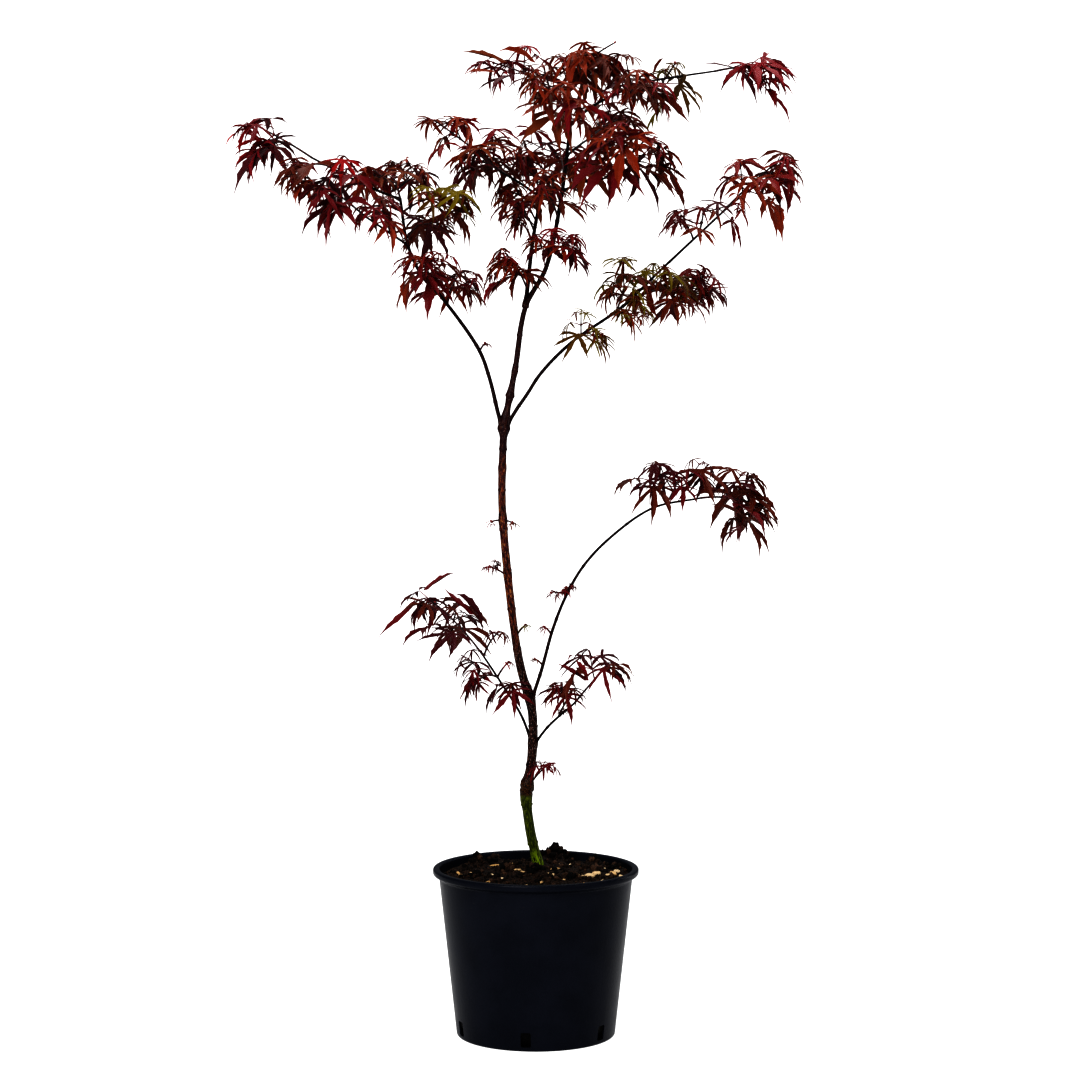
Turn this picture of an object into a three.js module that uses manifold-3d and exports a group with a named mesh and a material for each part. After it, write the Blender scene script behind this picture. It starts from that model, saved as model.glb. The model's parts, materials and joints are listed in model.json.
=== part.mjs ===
// A young grafted maple with finely cut, hanging purple leaves, in a black nursery pot.
// Millimetres, +Z up. The origin is the middle of the pot's flat underside, +X is the viewer's
// right and +Y points away from the viewer.
import * as THREE from 'three';
import { mergeVertices } from 'three/addons/utils/BufferGeometryUtils.js';
import Module from 'manifold-3d';

const wasm = await Module();
wasm.setup();

// Driving dimensions
const gap = 0.3; // clear distance between pieces that touch on the real plant

const pot = {
  height: 180,
  rimRadius: 110,
  wallTopRadius: 104.5,
  baseRadius: 85,
  wall: 1.6,
  floor: 2.2,
  lipDepth: 12, // how far down the thicker rim reaches outside the wall
  beadDepth: 4.5, // how far down the rim has its full width
  beadRound: 3, // of the rim's lower edge
  crownDepth: 2.2, // how far down the rim's rounded top reaches
  crownInset: 2, // how far in from the rim's outside its top is level
  footRound: 3,
  slots: 6,
  slotWidth: 10.5,
  slotFoot: 5, // how high above the ground each drainage slot begins
  slotHeight: 15.5,
  slotDepth: 5, // how far each slot's cutter reaches in and out from the foot's edge
  firstSlot: THREE.MathUtils.degToRad(-97),
  segments: 32,
};

const soil = {
  level: 170, // the surface at the pot's wall
  mound: 7.5, // how much higher it is heaped round the stem
  moundSpread: 42,
  lump: 1.6,
  wallDip: 3, // how much lower the wall's width is measured than the surface
  seatRadius: 10, // of the flat bed cut for the stem's foot
  seatHeight: 40,
  rings: 3,
};

const stemFoot = new THREE.Vector3(3, 30, 176); // where the flat foot of the trunk stands in the soil

const colours = {
  pot: 0x17181b,
  soil: 0x2b1d15,
  bark: 0x3b211d,
  burgundy: 0x5a1621,
  bronze: 0x74301a,
  crimson: 0x7c1420,
  olive: 0x5c4a1e,
};

const roughness = { pot: 0.42, soil: 0.95, bark: 0.7, leaf: 0.6 };

// Small helpers: vectors, closed solids, and the main body of a solid
const up = new THREE.Vector3(0, 0, 1);
const vector = (x, y, z) => new THREE.Vector3(x, y, z);
const mix = (a, b, share) => a.clone().lerp(b, share);

// Points with triangular faces that turn anticlockwise seen from outside become a solid.
function solidOf(points, faces) {
  const vertProperties = new Float32Array(points.flatMap((p) => [p.x, p.y, p.z]));
  const triVerts = new Uint32Array(faces.flat());
  return new wasm.Manifold(new wasm.Mesh({ numProp: 3, vertProperties, triVerts }));
}

// A three.js geometry becomes a solid once its shared corners are merged.
function solidFrom(geometry) {
  geometry.deleteAttribute('normal');
  geometry.deleteAttribute('uv');
  const merged = mergeVertices(geometry, 1e-4);
  const corner = merged.index.array;
  const faces = [];
  for (let i = 0; i < corner.length; i += 3) {
    const [a, b, c] = corner.subarray(i, i + 3);
    if (a !== b && b !== c && c !== a) faces.push([a, b, c]);
  }
  const at = merged.attributes.position;
  const points = Array.from({ length: at.count }, (_, i) => new THREE.Vector3().fromBufferAttribute(at, i));
  return solidOf(points, faces);
}

// The largest body of a solid: a loose scrap is dropped, and a sealed hollow is closed up.
function mainBody(made) {
  return made.decompose().reduce((best, body) => (body.volume() > best.volume() ? body : best));
}

// The nursery pot: a tapering wall with a rolled rim, a flat floor and drainage slots round its foot.
// Its profile runs from the middle of the underside, up outside and over the rim, and back down inside.
function wallRadius(height) {
  return THREE.MathUtils.lerp(pot.baseRadius, pot.wallTopRadius, height / pot.height);
}

function wallInside(height) {
  return wallRadius(height) - pot.wall;
}

function makePot() {
  const { height, rimRadius, wallTopRadius, baseRadius, floor, footRound, beadRound } = pot;
  const lipFoot = height - pot.lipDepth;
  const crown = height - pot.crownDepth; // where the rim's rounded top begins
  const bead = height - pot.beadDepth;
  const profile = [
    [0, 0],
    [baseRadius - footRound, 0],
    [baseRadius, footRound],
    [wallRadius(lipFoot), lipFoot],
    [rimRadius - beadRound / 2, bead - 0.87 * beadRound],
    [rimRadius, bead],
    [rimRadius, crown],
    [rimRadius - pot.crownInset, height - 0.4],
    [rimRadius - 2.5 * pot.crownInset, height],
    [wallTopRadius - 0.5, height - 0.3],
    [wallInside(crown), crown],
    [wallInside(floor), floor],
    [0, floor],
  ];
  const outline = profile.map(([radius, z]) => new THREE.Vector2(radius, z));
  const turned = new THREE.LatheGeometry(outline, pot.segments).rotateX(Math.PI / 2);
  let made = solidFrom(turned);
  for (let k = 0; k < pot.slots; k++) {
    const angle = pot.firstSlot + (k * 2 * Math.PI) / pot.slots;
    const slot = new THREE.BoxGeometry(2 * pot.slotDepth, pot.slotWidth, pot.slotHeight)
      .translate(baseRadius, 0, pot.slotFoot + pot.slotHeight / 2)
      .rotateZ(angle);
    made = made.subtract(solidFrom(slot));
  }
  return mainBody(made);
}

// The potting soil: it fills the pot, is heaped a little round the stem, and is lumpy on top
function soilHeight(x, y) {
  const fromStem = Math.hypot(x - stemFoot.x, y - stemFoot.y);
  const heap = soil.mound * Math.exp(-((fromStem / soil.moundSpread) ** 2));
  const lumps = Math.sin(x / 8 + 2 * Math.sin(y / 19)) + Math.sin(y / 7 + 2 * Math.sin(x / 23));
  return soil.level + heap + (soil.lump * lumps) / 2;
}

function makeSoil() {
  const { rings } = soil;
  const { segments } = pot; // the same as the pot's, so that the two walls run side by side
  const bottom = pot.floor + gap;
  const innerRadius = (z) => wallInside(z) - gap;
  const points = [vector(0, 0, soilHeight(0, 0))];
  for (let r = 1; r <= rings; r++) {
    const radius = (innerRadius(soil.level - soil.wallDip) * r) / rings;
    for (let s = 0; s < segments; s++) {
      const angle = (2 * Math.PI * s) / segments;
      const x = radius * Math.cos(angle);
      const y = radius * Math.sin(angle);
      points.push(vector(x, y, soilHeight(x, y)));
    }
  }
  for (let s = 0; s < segments; s++) {
    const angle = (2 * Math.PI * s) / segments;
    const radius = innerRadius(bottom);
    points.push(vector(radius * Math.cos(angle), radius * Math.sin(angle), bottom));
  }
  points.push(vector(0, 0, bottom));
  const faces = [];
  const corner = (ring, s) => 1 + ring * segments + (s % segments);
  for (let s = 0; s < segments; s++) {
    faces.push([0, corner(0, s), corner(0, s + 1)]);
    for (let r = 0; r < rings; r++) {
      faces.push([corner(r, s), corner(r + 1, s), corner(r + 1, s + 1)]);
      faces.push([corner(r, s), corner(r + 1, s + 1), corner(r, s + 1)]);
    }
    faces.push([corner(rings, s), points.length - 1, corner(rings, s + 1)]);
  }
  const seat = new THREE.CylinderGeometry(soil.seatRadius, soil.seatRadius, soil.seatHeight, 20)
    .rotateX(Math.PI / 2)
    .translate(stemFoot.x, stemFoot.y, stemFoot.z - gap + soil.seatHeight / 2);
  return mainBody(solidOf(points, faces).subtract(solidFrom(seat)));
}

// A stick with flat sides along a curve, closed by flat ends. Its corners stand a little outside its
// girth, so that it looks as thick as a round one. grow widens it all round and lengthens both ends.
function stick(curve, girthAt, { sides, rings, grow = 0, level = false }) {
  const { tangents, normals, binormals } = curve.computeFrenetFrames(rings, false);
  const points = [];
  for (let r = 0; r <= rings; r++) {
    const share = r / rings;
    const centre = curve.getPointAt(share);
    if (r === 0) centre.addScaledVector(tangents[0], -grow);
    if (r === rings) centre.addScaledVector(tangents[rings], grow);
    const girth = (girthAt(share) + grow) / Math.cos(Math.PI / sides / (grow > 0 ? 1 : 2));
    for (let s = 0; s < sides; s++) {
      const angle = (2 * Math.PI * s) / sides;
      const corner = centre
        .clone()
        .addScaledVector(normals[r], girth * Math.cos(angle))
        .addScaledVector(binormals[r], girth * Math.sin(angle));
      if (level && r === 0) corner.z = centre.z;
      points.push(corner);
    }
  }
  const faces = [];
  const corner = (r, s) => r * sides + (s % sides);
  for (let s = 1; s < sides - 1; s++) {
    faces.push([corner(0, 0), corner(0, s + 1), corner(0, s)]);
    faces.push([corner(rings, 0), corner(rings, s), corner(rings, s + 1)]);
  }
  for (let r = 0; r < rings; r++) {
    for (let s = 0; s < sides; s++) {
      faces.push([corner(r, s), corner(r, s + 1), corner(r + 1, s + 1)]);
      faces.push([corner(r, s), corner(r + 1, s + 1), corner(r + 1, s)]);
    }
  }
  return solidOf(points, faces);
}

// Limbs: each one tapers along a smooth curve. Its first guide point names the place where it leaves
// its parent, and is moved to the nearest point of the parent's middle line. girth gives the radius at
// the foot and at the tip, and knuckles the height, size and spread of swellings.
const limbPlans = [
  {
    name: 'trunk',
    girth: [5.4, 3.9],
    sides: 6,
    via: [
      [3, 30, 176],
      [-5, 29.5, 209],
      [-9.3, 28, 238],
      [-10.2, 27, 258],
      [-5.6, 25.5, 285],
      [-3, 24, 315],
      [-5, 22, 352],
      [-14.5, 20.5, 385],
      [-20.5, 19, 415],
      [-30, 16, 492],
      [-36, 13, 572],
      [-34, 10, 652],
    ],
    // the flare at the soil, the graft union, a slimmer stretch, and the rings and forks where side
    // limbs leave
    knuckles: [
      [176, 0.7, 12],
      [250, 1.3, 9],
      [264, 2.3, 8],
      [311, 0.6, 7],
      [361, 1.3, 9],
      [430, -0.4, 30],
      [492, 0.5, 5],
      [551, 0.8, 6],
      [606, 0.6, 5],
      [649, 3.1, 6],
    ],
  },
  {
    name: 'leader',
    from: 'trunk',
    girth: [3.4, 1.6],
    via: [
      [-34, 10, 652],
      [-22, 8, 711],
      [-11, 6, 777],
      [11, -6, 819],
      [28, -20, 899],
      [36, -15, 967],
    ],
    knuckles: [
      [684, 1.3, 7],
      [710, 0.7, 4],
    ],
  },
  {
    name: 'leader_left',
    from: 'leader',
    girth: [2.5, 1.8],
    via: [
      [-11, 6, 777],
      [-3, 20, 849],
      [5, 28, 894],
    ],
  },
  {
    name: 'bough_left',
    from: 'trunk',
    girth: [2.3, 1.5],
    via: [
      [-34, 10, 643],
      [-39.5, 7, 663],
      [-49, 2, 702],
      [-60, -6, 732],
      [-98, -26, 786],
      [-118, -34, 808],
      [-133, -40, 840],
      [-141, -36, 888],
    ],
  },
  {
    name: 'bough_right',
    from: 'trunk',
    girth: [2.1, 1.2],
    via: [
      [-34, 10, 643],
      [-21, 13, 668],
      [-10, 15, 684],
      [6, 18, 708],
      [38, 26, 740],
      [92, 36, 778],
      [132, 26, 816],
      [196, 0, 876],
    ],
  },
  {
    name: 'far_left',
    from: 'bough_left',
    girth: [1.5, 1.1],
    via: [
      [-141, -36, 888],
      [-176, -16, 903],
      [-237, 16, 935],
    ],
  },
  {
    name: 'left_outer',
    from: 'bough_left',
    girth: [1.3, 1.1],
    via: [
      [-133, -40, 840],
      [-152, -62, 853],
      [-175, -90, 868],
    ],
  },
  {
    name: 'upper_left',
    from: 'leader_left',
    girth: [1.5, 1.1],
    via: [
      [5, 28, 894],
      [-17, -10, 907],
      [-37, -52, 916],
    ],
  },
  {
    name: 'centre_front',
    from: 'leader',
    girth: [1.4, 1.1],
    via: [
      [28, -20, 899],
      [49, -48, 905],
      [71, -82, 907],
    ],
  },
  {
    name: 'centre_back',
    from: 'leader',
    girth: [1.4, 1.1],
    via: [
      [33, -20, 935],
      [45, 25, 948],
      [58, 70, 960],
    ],
  },
  {
    name: 'top_right',
    from: 'leader',
    girth: [1.5, 1.0],
    via: [
      [36, -15, 967],
      [57, 0, 986],
      [113, 35, 1015],
      [157, 55, 1025],
      [192, 65, 1031],
    ],
  },
  {
    name: 'top_left',
    from: 'leader',
    girth: [1.4, 1.1],
    via: [
      [36, -18, 955],
      [28, 0, 989],
      [15, 22, 1007],
    ],
  },
  {
    name: 'right_lower',
    from: 'bough_right',
    girth: [1.3, 1.1],
    via: [
      [92, 36, 778],
      [107, 56, 788],
      [124, 80, 795],
    ],
  },
  {
    name: 'low_right',
    from: 'trunk',
    girth: [2.0, 1.1],
    via: [
      [-2, 22, 357],
      [6, 16, 390],
      [18, 10, 434],
      [31, 4, 468],
      [50, 0, 502],
      [79, 0, 533],
      [124, 6, 564],
      [176, 24, 574],
    ],
  },
  {
    name: 'low_left',
    from: 'trunk',
    girth: [1.6, 1.1],
    via: [
      [-2, 24, 306],
      [-15, 30, 338],
      [-41, 40, 379],
      [-57, 42, 403],
    ],
  },
  {
    name: 'low_front',
    from: 'trunk',
    girth: [1.5, 1.1],
    via: [
      [-2, 24, 305],
      [13, 8, 330],
      [41, -22, 359],
    ],
  },
];

class Limb {
  constructor(plan, parent) {
    this.name = plan.name;
    const via = plan.via.map((p) => vector(...p));
    if (parent) via[0] = parent.nearest(via[0]).point;
    this.curve = new THREE.CatmullRomCurve3(via, false, 'centripetal');
    this.curve.arcLengthDivisions = 400;
    const length = this.curve.getLength();
    const [start, end] = plan.girth;
    this.girthAt = (share) => {
      const z = this.curve.getPointAt(share).z;
      const swell = ([at, extra, spread]) => extra * Math.exp(-(((z - at) / spread) ** 2));
      const plain = THREE.MathUtils.lerp(start, end, share);
      return (plan.knuckles ?? []).reduce((sum, knuckle) => sum + swell(knuckle), plain);
    };
    this.sides = plan.sides ?? 5;
    this.rings = Math.ceil(length / (plan.knuckles ? 14 : 22)); // closer where there are swellings
    this.level = !parent;
    this.line = Array.from({ length: 81 }, (_, i) => this.curve.getPointAt(i / 80));
  }

  nearest(place) {
    const distances = this.line.map((p) => p.distanceTo(place));
    const i = distances.indexOf(Math.min(...distances));
    return { point: this.line[i].clone(), share: i / 80, distance: distances[i] };
  }

  solid(grow = 0) {
    const { sides, rings, level } = this;
    return stick(this.curve, this.girthAt, { sides, rings, grow, level });
  }
}

const limbs = new Map();
for (const plan of limbPlans) limbs.set(plan.name, new Limb(plan, limbs.get(plan.from)));

// A limb's solid stops clear of every limb that was made before it.
const limbSolids = new Map();
for (const [name, limb] of limbs) {
  let made = limb.solid();
  for (const earlier of limbSolids.keys()) made = made.subtract(limbs.get(earlier).solid(gap));
  limbSolids.set(name, mainBody(made));
}

// One leaf with its stalk, as one closed surface: lobes fan out from a hub and hang. The middle three
// are blades with a ridge along them, and the outer ones, or all of a small leaf's, are plain spikes.
const leafRule = {
  lobeTurn: THREE.MathUtils.degToRad(43),
  lobeReach: [1, 0.94, 0.78, 0.4], // the middle lobe, then outwards on both sides
  lobeWidth: 0.105, // half the width of a lobe, against its length
  widest: 0.48, // how far along a lobe it is widest
  thickness: 0.019, // against the leaf's length
  thinnest: 0.5,
  notch: 0.15, // how far out the lobes part
  slimNotch: 0.22,
  inward: 0.16, // how much of its reach a hanging lobe loses
  fall: 0.3, // how far a lobe's tip hangs down, against its reach
};

function makeLeaf({ node, hub, forward, normal, size, droop, pairs, slim }) {
  const rule = leafRule;
  const side = normal.clone().cross(forward).normalize();
  const fallLine = mix(normal, up, 0.5).normalize();
  const thick = Math.max(rule.thickness * size, rule.thinnest);
  const towards = (angle) =>
    forward.clone().multiplyScalar(Math.cos(angle)).addScaledVector(side, Math.sin(angle));
  const along = (way, reach, t) =>
    hub
      .clone()
      .addScaledVector(way, reach * (t - rule.inward * droop * t * t))
      .addScaledVector(fallLine, -reach * rule.fall * droop * t * t);
  const count = 2 * pairs + 1;
  const above = hub.clone().addScaledVector(normal, thick);
  const below = hub.clone().addScaledVector(normal, -0.8 * thick);
  const points = [above, below];
  const faces = [];
  const notch = size * (slim ? rule.slimNotch : rule.notch);
  for (let k = 0; k <= count; k++) points.push(along(towards((k - pairs - 0.5) * rule.lobeTurn), notch, 1));
  const samples = [hub];
  for (let k = 0; k < count; k++) {
    const order = Math.abs(k - pairs);
    const way = towards((k - pairs) * rule.lobeTurn);
    const reach = size * rule.lobeReach[order];
    const a = 2 + k;
    const b = 3 + k;
    const tip = along(way, reach, 1);
    const middle = along(way, reach, rule.widest);
    samples.push(middle, tip);
    faces.push([1, b, a]);
    if (slim || order > 1) {
      const p = points.push(tip) - 1;
      faces.push([0, a, p], [0, p, b], [a, b, p]);
      continue;
    }
    const across = fallLine.clone().cross(way).normalize();
    const run = along(way, reach, rule.widest + 0.1).sub(middle).normalize();
    const ridge = run.clone().cross(across).normalize();
    const low = points.push(middle.clone().addScaledVector(across, -rule.lobeWidth * reach)) - 1;
    const high = points.push(middle.clone().addScaledVector(across, rule.lobeWidth * reach)) - 1;
    const top = points.push(middle.clone().addScaledVector(ridge, thick)) - 1;
    const p = points.push(tip) - 1;
    faces.push([0, a, low], [0, low, top], [0, top, high], [0, high, b]);
    faces.push([low, p, top], [top, p, high], [low, high, p], [a, high, low], [a, b, high]);
  }
  // the three-sided stalk, from inside the twig to the back of the hub
  const way = hub.clone().sub(node).normalize();
  const across = side.clone().addScaledVector(way, -side.dot(way)).normalize();
  const over = way.clone().cross(across);
  const ring = (centre, left, top, girth) => {
    const at = points.length;
    points.push(centre.clone().addScaledVector(left, girth).addScaledVector(top, 0.5 * girth));
    points.push(centre.clone().addScaledVector(left, -girth).addScaledVector(top, 0.5 * girth));
    points.push(centre.clone().addScaledVector(top, -girth));
    return [at, at + 1, at + 2];
  };
  const [fl, fr, fb] = ring(node, across, over, 0.55 * massRule.stalkGirth);
  const heel = hub.clone().addScaledVector(forward, -0.06 * size);
  const [sl, sr, sb] = ring(heel, side, normal, massRule.stalkGirth);
  const right = 2;
  const left = 2 + count;
  faces.push([fl, fb, fr], [fl, fr, sr], [fl, sr, sl], [fr, fb, sb]);
  faces.push([fr, sb, sr], [fb, fl, sl], [fb, sl, sb]);
  faces.push([0, left, sl], [0, sl, sr], [0, sr, right]);
  faces.push([1, sl, left], [1, sb, sl], [1, sr, sb], [1, right, sr]);
  return { solid: solidOf(points, faces), samples };
}

// Masses of leaves: a stem leaves its limb at the limb's tip, or near the place given, and curves to
// its own tip. leaf is the length of the largest lobe, nodes the number of leaf pairs, twigs how many
// of those pairs are side twigs with three leaves each, first and last how far along the stem the
// first and the last pair stand, and hang how strongly the lobes droop.
const massPlans = [
  {
    name: 'far_left_spray',
    from: 'far_left',
    tip: [-293, 4, 967],
    leaf: 64,
    nodes: 3,
    colour: 'crimson',
    hang: 0.85,
  },
  {
    name: 'left_mid_spray',
    from: 'far_left',
    near: [-222, 8, 927],
    tip: [-246, -40, 918],
    leaf: 62,
    nodes: 2,
  },
  {
    name: 'left_top_spray',
    from: 'far_left',
    near: [-172, -18, 902],
    tip: [-178, 30, 916],
    leaf: 50,
    nodes: 2,
  },
  { name: 'left_high_spray', from: 'bough_left', tip: [-150, -14, 914], leaf: 54, nodes: 2, twigs: 1 },
  {
    name: 'left_low_spray',
    from: 'left_outer',
    tip: [-208, -106, 894],
    leaf: 60,
    nodes: 3,
    colour: 'crimson',
  },
  {
    name: 'left_under_spray',
    from: 'left_outer',
    near: [-150, -60, 852],
    tip: [-158, -90, 884],
    leaf: 54,
    nodes: 2,
  },
  {
    name: 'inner_left_low',
    from: 'bough_left',
    near: [-104, -29, 792],
    tip: [-120, -74, 826],
    leaf: 52,
    nodes: 3,
  },
  {
    name: 'inner_left_back',
    from: 'bough_left',
    near: [-93, -25, 781],
    tip: [-80, 22, 814],
    leaf: 48,
    nodes: 3,
  },
  {
    name: 'left_centre_spray',
    from: 'bough_left',
    near: [-139, -38, 873],
    tip: [-82, -72, 892],
    leaf: 58,
    nodes: 3,
    colour: 'olive',
  },
  {
    name: 'left_back_spray',
    from: 'bough_left',
    near: [-134, -40, 846],
    tip: [-104, 24, 872],
    leaf: 50,
    nodes: 2,
  },
  {
    name: 'upper_left_spray',
    from: 'upper_left',
    tip: [-102, -80, 965],
    leaf: 46,
    nodes: 3,
    colour: 'bronze',
  },
  {
    name: 'upper_left_inner',
    from: 'upper_left',
    near: [-30, -38, 913],
    tip: [-58, 6, 930],
    leaf: 58,
    nodes: 3,
  },
  { name: 'leader_spray', from: 'leader_left', tip: [-12, 74, 928], leaf: 54, nodes: 2 },
  {
    name: 'top_left_spray',
    from: 'top_left',
    tip: [-44, 50, 1038],
    leaf: 54,
    nodes: 3,
    colour: 'crimson',
    hang: 0.6,
  },
  {
    name: 'top_crest',
    from: 'top_left',
    near: [20, 15, 1001],
    tip: [82, -5, 1053],
    leaf: 58,
    nodes: 3,
    last: 0.62,
    colour: 'bronze',
    hang: 0.9,
  },
  {
    name: 'top_front_spray',
    from: 'leader',
    near: [34, -17, 950],
    tip: [34, -98, 1000],
    leaf: 66,
    nodes: 3,
    colour: 'bronze',
  },
  {
    name: 'top_inner_spray',
    from: 'top_right',
    near: [98, 27, 1007],
    tip: [98, -40, 1006],
    leaf: 52,
    nodes: 3,
  },
  {
    name: 'top_back_spray',
    from: 'top_right',
    near: [135, 45, 1020],
    tip: [136, 95, 1006],
    leaf: 50,
    nodes: 2,
    colour: 'olive',
  },
  {
    name: 'far_right_spray',
    from: 'top_right',
    tip: [246, 70, 1037],
    leaf: 62,
    nodes: 3,
    colour: 'crimson',
    hang: 0.85,
  },
  { name: 'front_spray', from: 'centre_front', tip: [108, -130, 940], leaf: 66, nodes: 4 },
  { name: 'back_spray', from: 'centre_back', tip: [95, 138, 988], leaf: 60, nodes: 3 },
  {
    name: 'back_left_spray',
    from: 'leader',
    near: [28, -20, 910],
    tip: [22, 128, 946],
    leaf: 58,
    nodes: 3,
  },
  {
    name: 'leader_low_left',
    from: 'leader_left',
    near: [-10, 10, 796],
    tip: [-30, -28, 831],
    leaf: 50,
    nodes: 2,
  },
  {
    name: 'leader_low_right',
    from: 'leader',
    near: [13, -10, 831],
    tip: [20, -58, 850],
    leaf: 48,
    nodes: 2,
  },
  {
    name: 'leader_mid_left',
    from: 'leader_left',
    near: [-1, 22, 857],
    tip: [-20, -18, 886],
    leaf: 47,
    nodes: 1,
  },
  {
    name: 'right_tip_spray',
    from: 'bough_right',
    tip: [258, -18, 919],
    leaf: 60,
    nodes: 4,
    first: 0.2,
    colour: 'crimson',
    hang: 1.4,
  },
  {
    name: 'right_mid_spray',
    from: 'bough_right',
    near: [172, 11, 857],
    tip: [175, -36, 878],
    leaf: 60,
    nodes: 1,
  },
  {
    name: 'right_low_inner',
    from: 'bough_right',
    near: [86, 35, 775],
    tip: [94, -4, 798],
    leaf: 48,
    nodes: 3,
    colour: 'olive',
  },
  { name: 'right_low_spray', from: 'right_lower', tip: [176, 95, 799], leaf: 58, nodes: 3 },
  {
    name: 'right_low_back',
    from: 'right_lower',
    near: [116, 68, 792],
    tip: [150, 32, 804],
    leaf: 48,
    nodes: 2,
    colour: 'olive',
  },
  {
    name: 'right_low_front',
    from: 'bough_right',
    near: [76, 34, 769],
    tip: [100, -25, 768],
    leaf: 32,
    nodes: 3,
    colour: 'olive',
  },
  {
    name: 'right_small_shoot',
    from: 'bough_right',
    near: [38, 27, 744],
    tip: [63, -2, 752],
    leaf: 34,
    nodes: 2,
    colour: 'olive',
  },
  { name: 'low_right_spray', from: 'low_right', tip: [234, 32, 568], leaf: 66, nodes: 3, hang: 1.1 },
  {
    name: 'low_right_inner',
    from: 'low_right',
    near: [140, 12, 567],
    tip: [150, -38, 598],
    leaf: 54,
    nodes: 2,
    twigs: 1,
  },
  { name: 'low_left_spray', from: 'low_left', tip: [-109, 56, 458], leaf: 58, nodes: 3 },
  {
    name: 'low_left_lower',
    from: 'low_left',
    near: [-39, 40, 382],
    tip: [-59, 2, 382],
    leaf: 44,
    nodes: 2,
  },
  {
    name: 'low_left_inner',
    from: 'low_left',
    near: [-20, 32, 350],
    tip: [-25, 8, 369],
    leaf: 92,
    nodes: 0,
    hang: 1.3,
  },
  { name: 'low_front_spray', from: 'low_front', tip: [72, -42, 398], leaf: 68, nodes: 1, hang: 1.1 },
  {
    name: 'graft_shoot',
    from: 'trunk',
    near: [-10, 26, 259],
    tip: [12, 10, 288],
    leaf: 33,
    nodes: 1,
    colour: 'crimson',
    hang: 0.8,
  },
  {
    name: 'trunk_tuft',
    from: 'trunk',
    near: [-31, 16, 492],
    tip: [-48, 10, 501],
    leaf: 21,
    nodes: 1,
    colour: 'crimson',
  },
  {
    name: 'low_right_tuft',
    from: 'low_right',
    near: [31, 4, 468],
    tip: [29, -6, 476],
    leaf: 21,
    nodes: 1,
    colour: 'crimson',
  },
  {
    name: 'low_front_inner',
    from: 'low_front',
    near: [24, -4, 342],
    tip: [38, -12, 371],
    leaf: 54,
    nodes: 1,
  },
];

const massRule = {
  stemGirth: [1.25, 0.8],
  stemStep: 16, // length of a stem between two bends
  twigGirth: 0.85,
  stalkGirth: 0.72,
  stalk: 0.42, // the leaf stalk's length, against the leaf's
  twig: 0.55, // a side twig's length, against the leaf's
  clearOfLimb: 1.2,
  clearOfSpace: 0.8,
  fineness: 0.08, // details finer than this are smoothed away where pieces are fused
  attempts: 7,
  slimBelow: 46, // leaves smaller than this have plain spikes for lobes
  fiveBelow: 60, // leaves smaller than this have five lobes in place of seven
  // how one leaf may differ from the next
  length: [0.86, 1.1],
  stalkShare: [0.75, 1.25],
  lift: [-0.2, 0.2], // how far the stalk turns up or down
  riseKept: 0.4, // the share that a rising stalk keeps of its rise
  tilt: [0.45, 1.1], // how far the blade leans outwards, in radians
  roll: [-0.35, 0.35],
  droop: [0.8, 1.15],
};

// Repeatable chance: the same seed always gives the same run of numbers from 0 to 1.
function seeded(seed) {
  let state = (seed * 2654435761) >>> 0;
  return () => {
    state = (state + 0x6d2b79f5) >>> 0;
    let t = Math.imul(state ^ (state >>> 15), 1 | state);
    t = (t + Math.imul(t ^ (t >>> 7), 61 | t)) ^ t;
    return ((t ^ (t >>> 14)) >>> 0) / 4294967296;
  };
}

class Mass {
  constructor(plan, index) {
    Object.assign(this, { twigs: 0, first: 0.4, last: 1, hang: 1, colour: 'burgundy' }, plan);
    this.index = index;
    const parent = limbs.get(plan.from);
    const tip = vector(...plan.tip);
    const atEnd = !plan.near;
    const end = { point: parent.line.at(-1).clone(), share: 1 };
    const joint = atEnd ? end : parent.nearest(vector(...plan.near));
    const foot = joint.point;
    const run = tip.clone().sub(foot);
    const reach = run.length();
    const way = run
      .normalize()
      .multiplyScalar(0.65)
      .addScaledVector(parent.curve.getTangentAt(joint.share), atEnd ? 0.45 : 0.1)
      .addScaledVector(up, 0.12);
    const bend = foot.clone().addScaledVector(way.normalize(), reach / 2);
    this.stem = new THREE.QuadraticBezierCurve3(foot, bend, tip);
    this.centre = mix(foot, tip, 0.72).addScaledVector(up, -0.3 * plan.leaf);
    this.radius = 0.5 * plan.leaf;
    this.stemSolid = stick(this.stem, (share) => THREE.MathUtils.lerp(...massRule.stemGirth, share), {
      sides: 3,
      rings: Math.max(2, Math.round(reach / massRule.stemStep)),
    });
  }

  // How far a place lies inside this mass's own space, against the neighbour that is nearest to it.
  inside(place) {
    const depth = (other) => {
      const here = place.distanceToSquared(this.centre) - this.radius ** 2;
      const there = place.distanceToSquared(other.centre) - other.radius ** 2;
      return (there - here) / (2 * this.centre.distanceTo(other.centre));
    };
    return Math.min(...masses.filter((other) => other !== this).map(depth));
  }
}

const masses = [];
massPlans.forEach((plan, index) => masses.push(new Mass(plan, index)));

// Stems end clear of the limbs and of the stems made before them.
const stemSolids = [];
for (const mass of masses) {
  let made = mass.stemSolid;
  for (const limb of limbs.values()) made = made.subtract(limb.solid(gap));
  mass.stemSolid = mainBody(made);
  stemSolids.push(mass.stemSolid);
}

function clearOfLimbs(place, margin) {
  return [...limbs.values()].every((limb) => {
    const { share, distance } = limb.nearest(place);
    return distance > limb.girthAt(share) + margin;
  });
}

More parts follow.
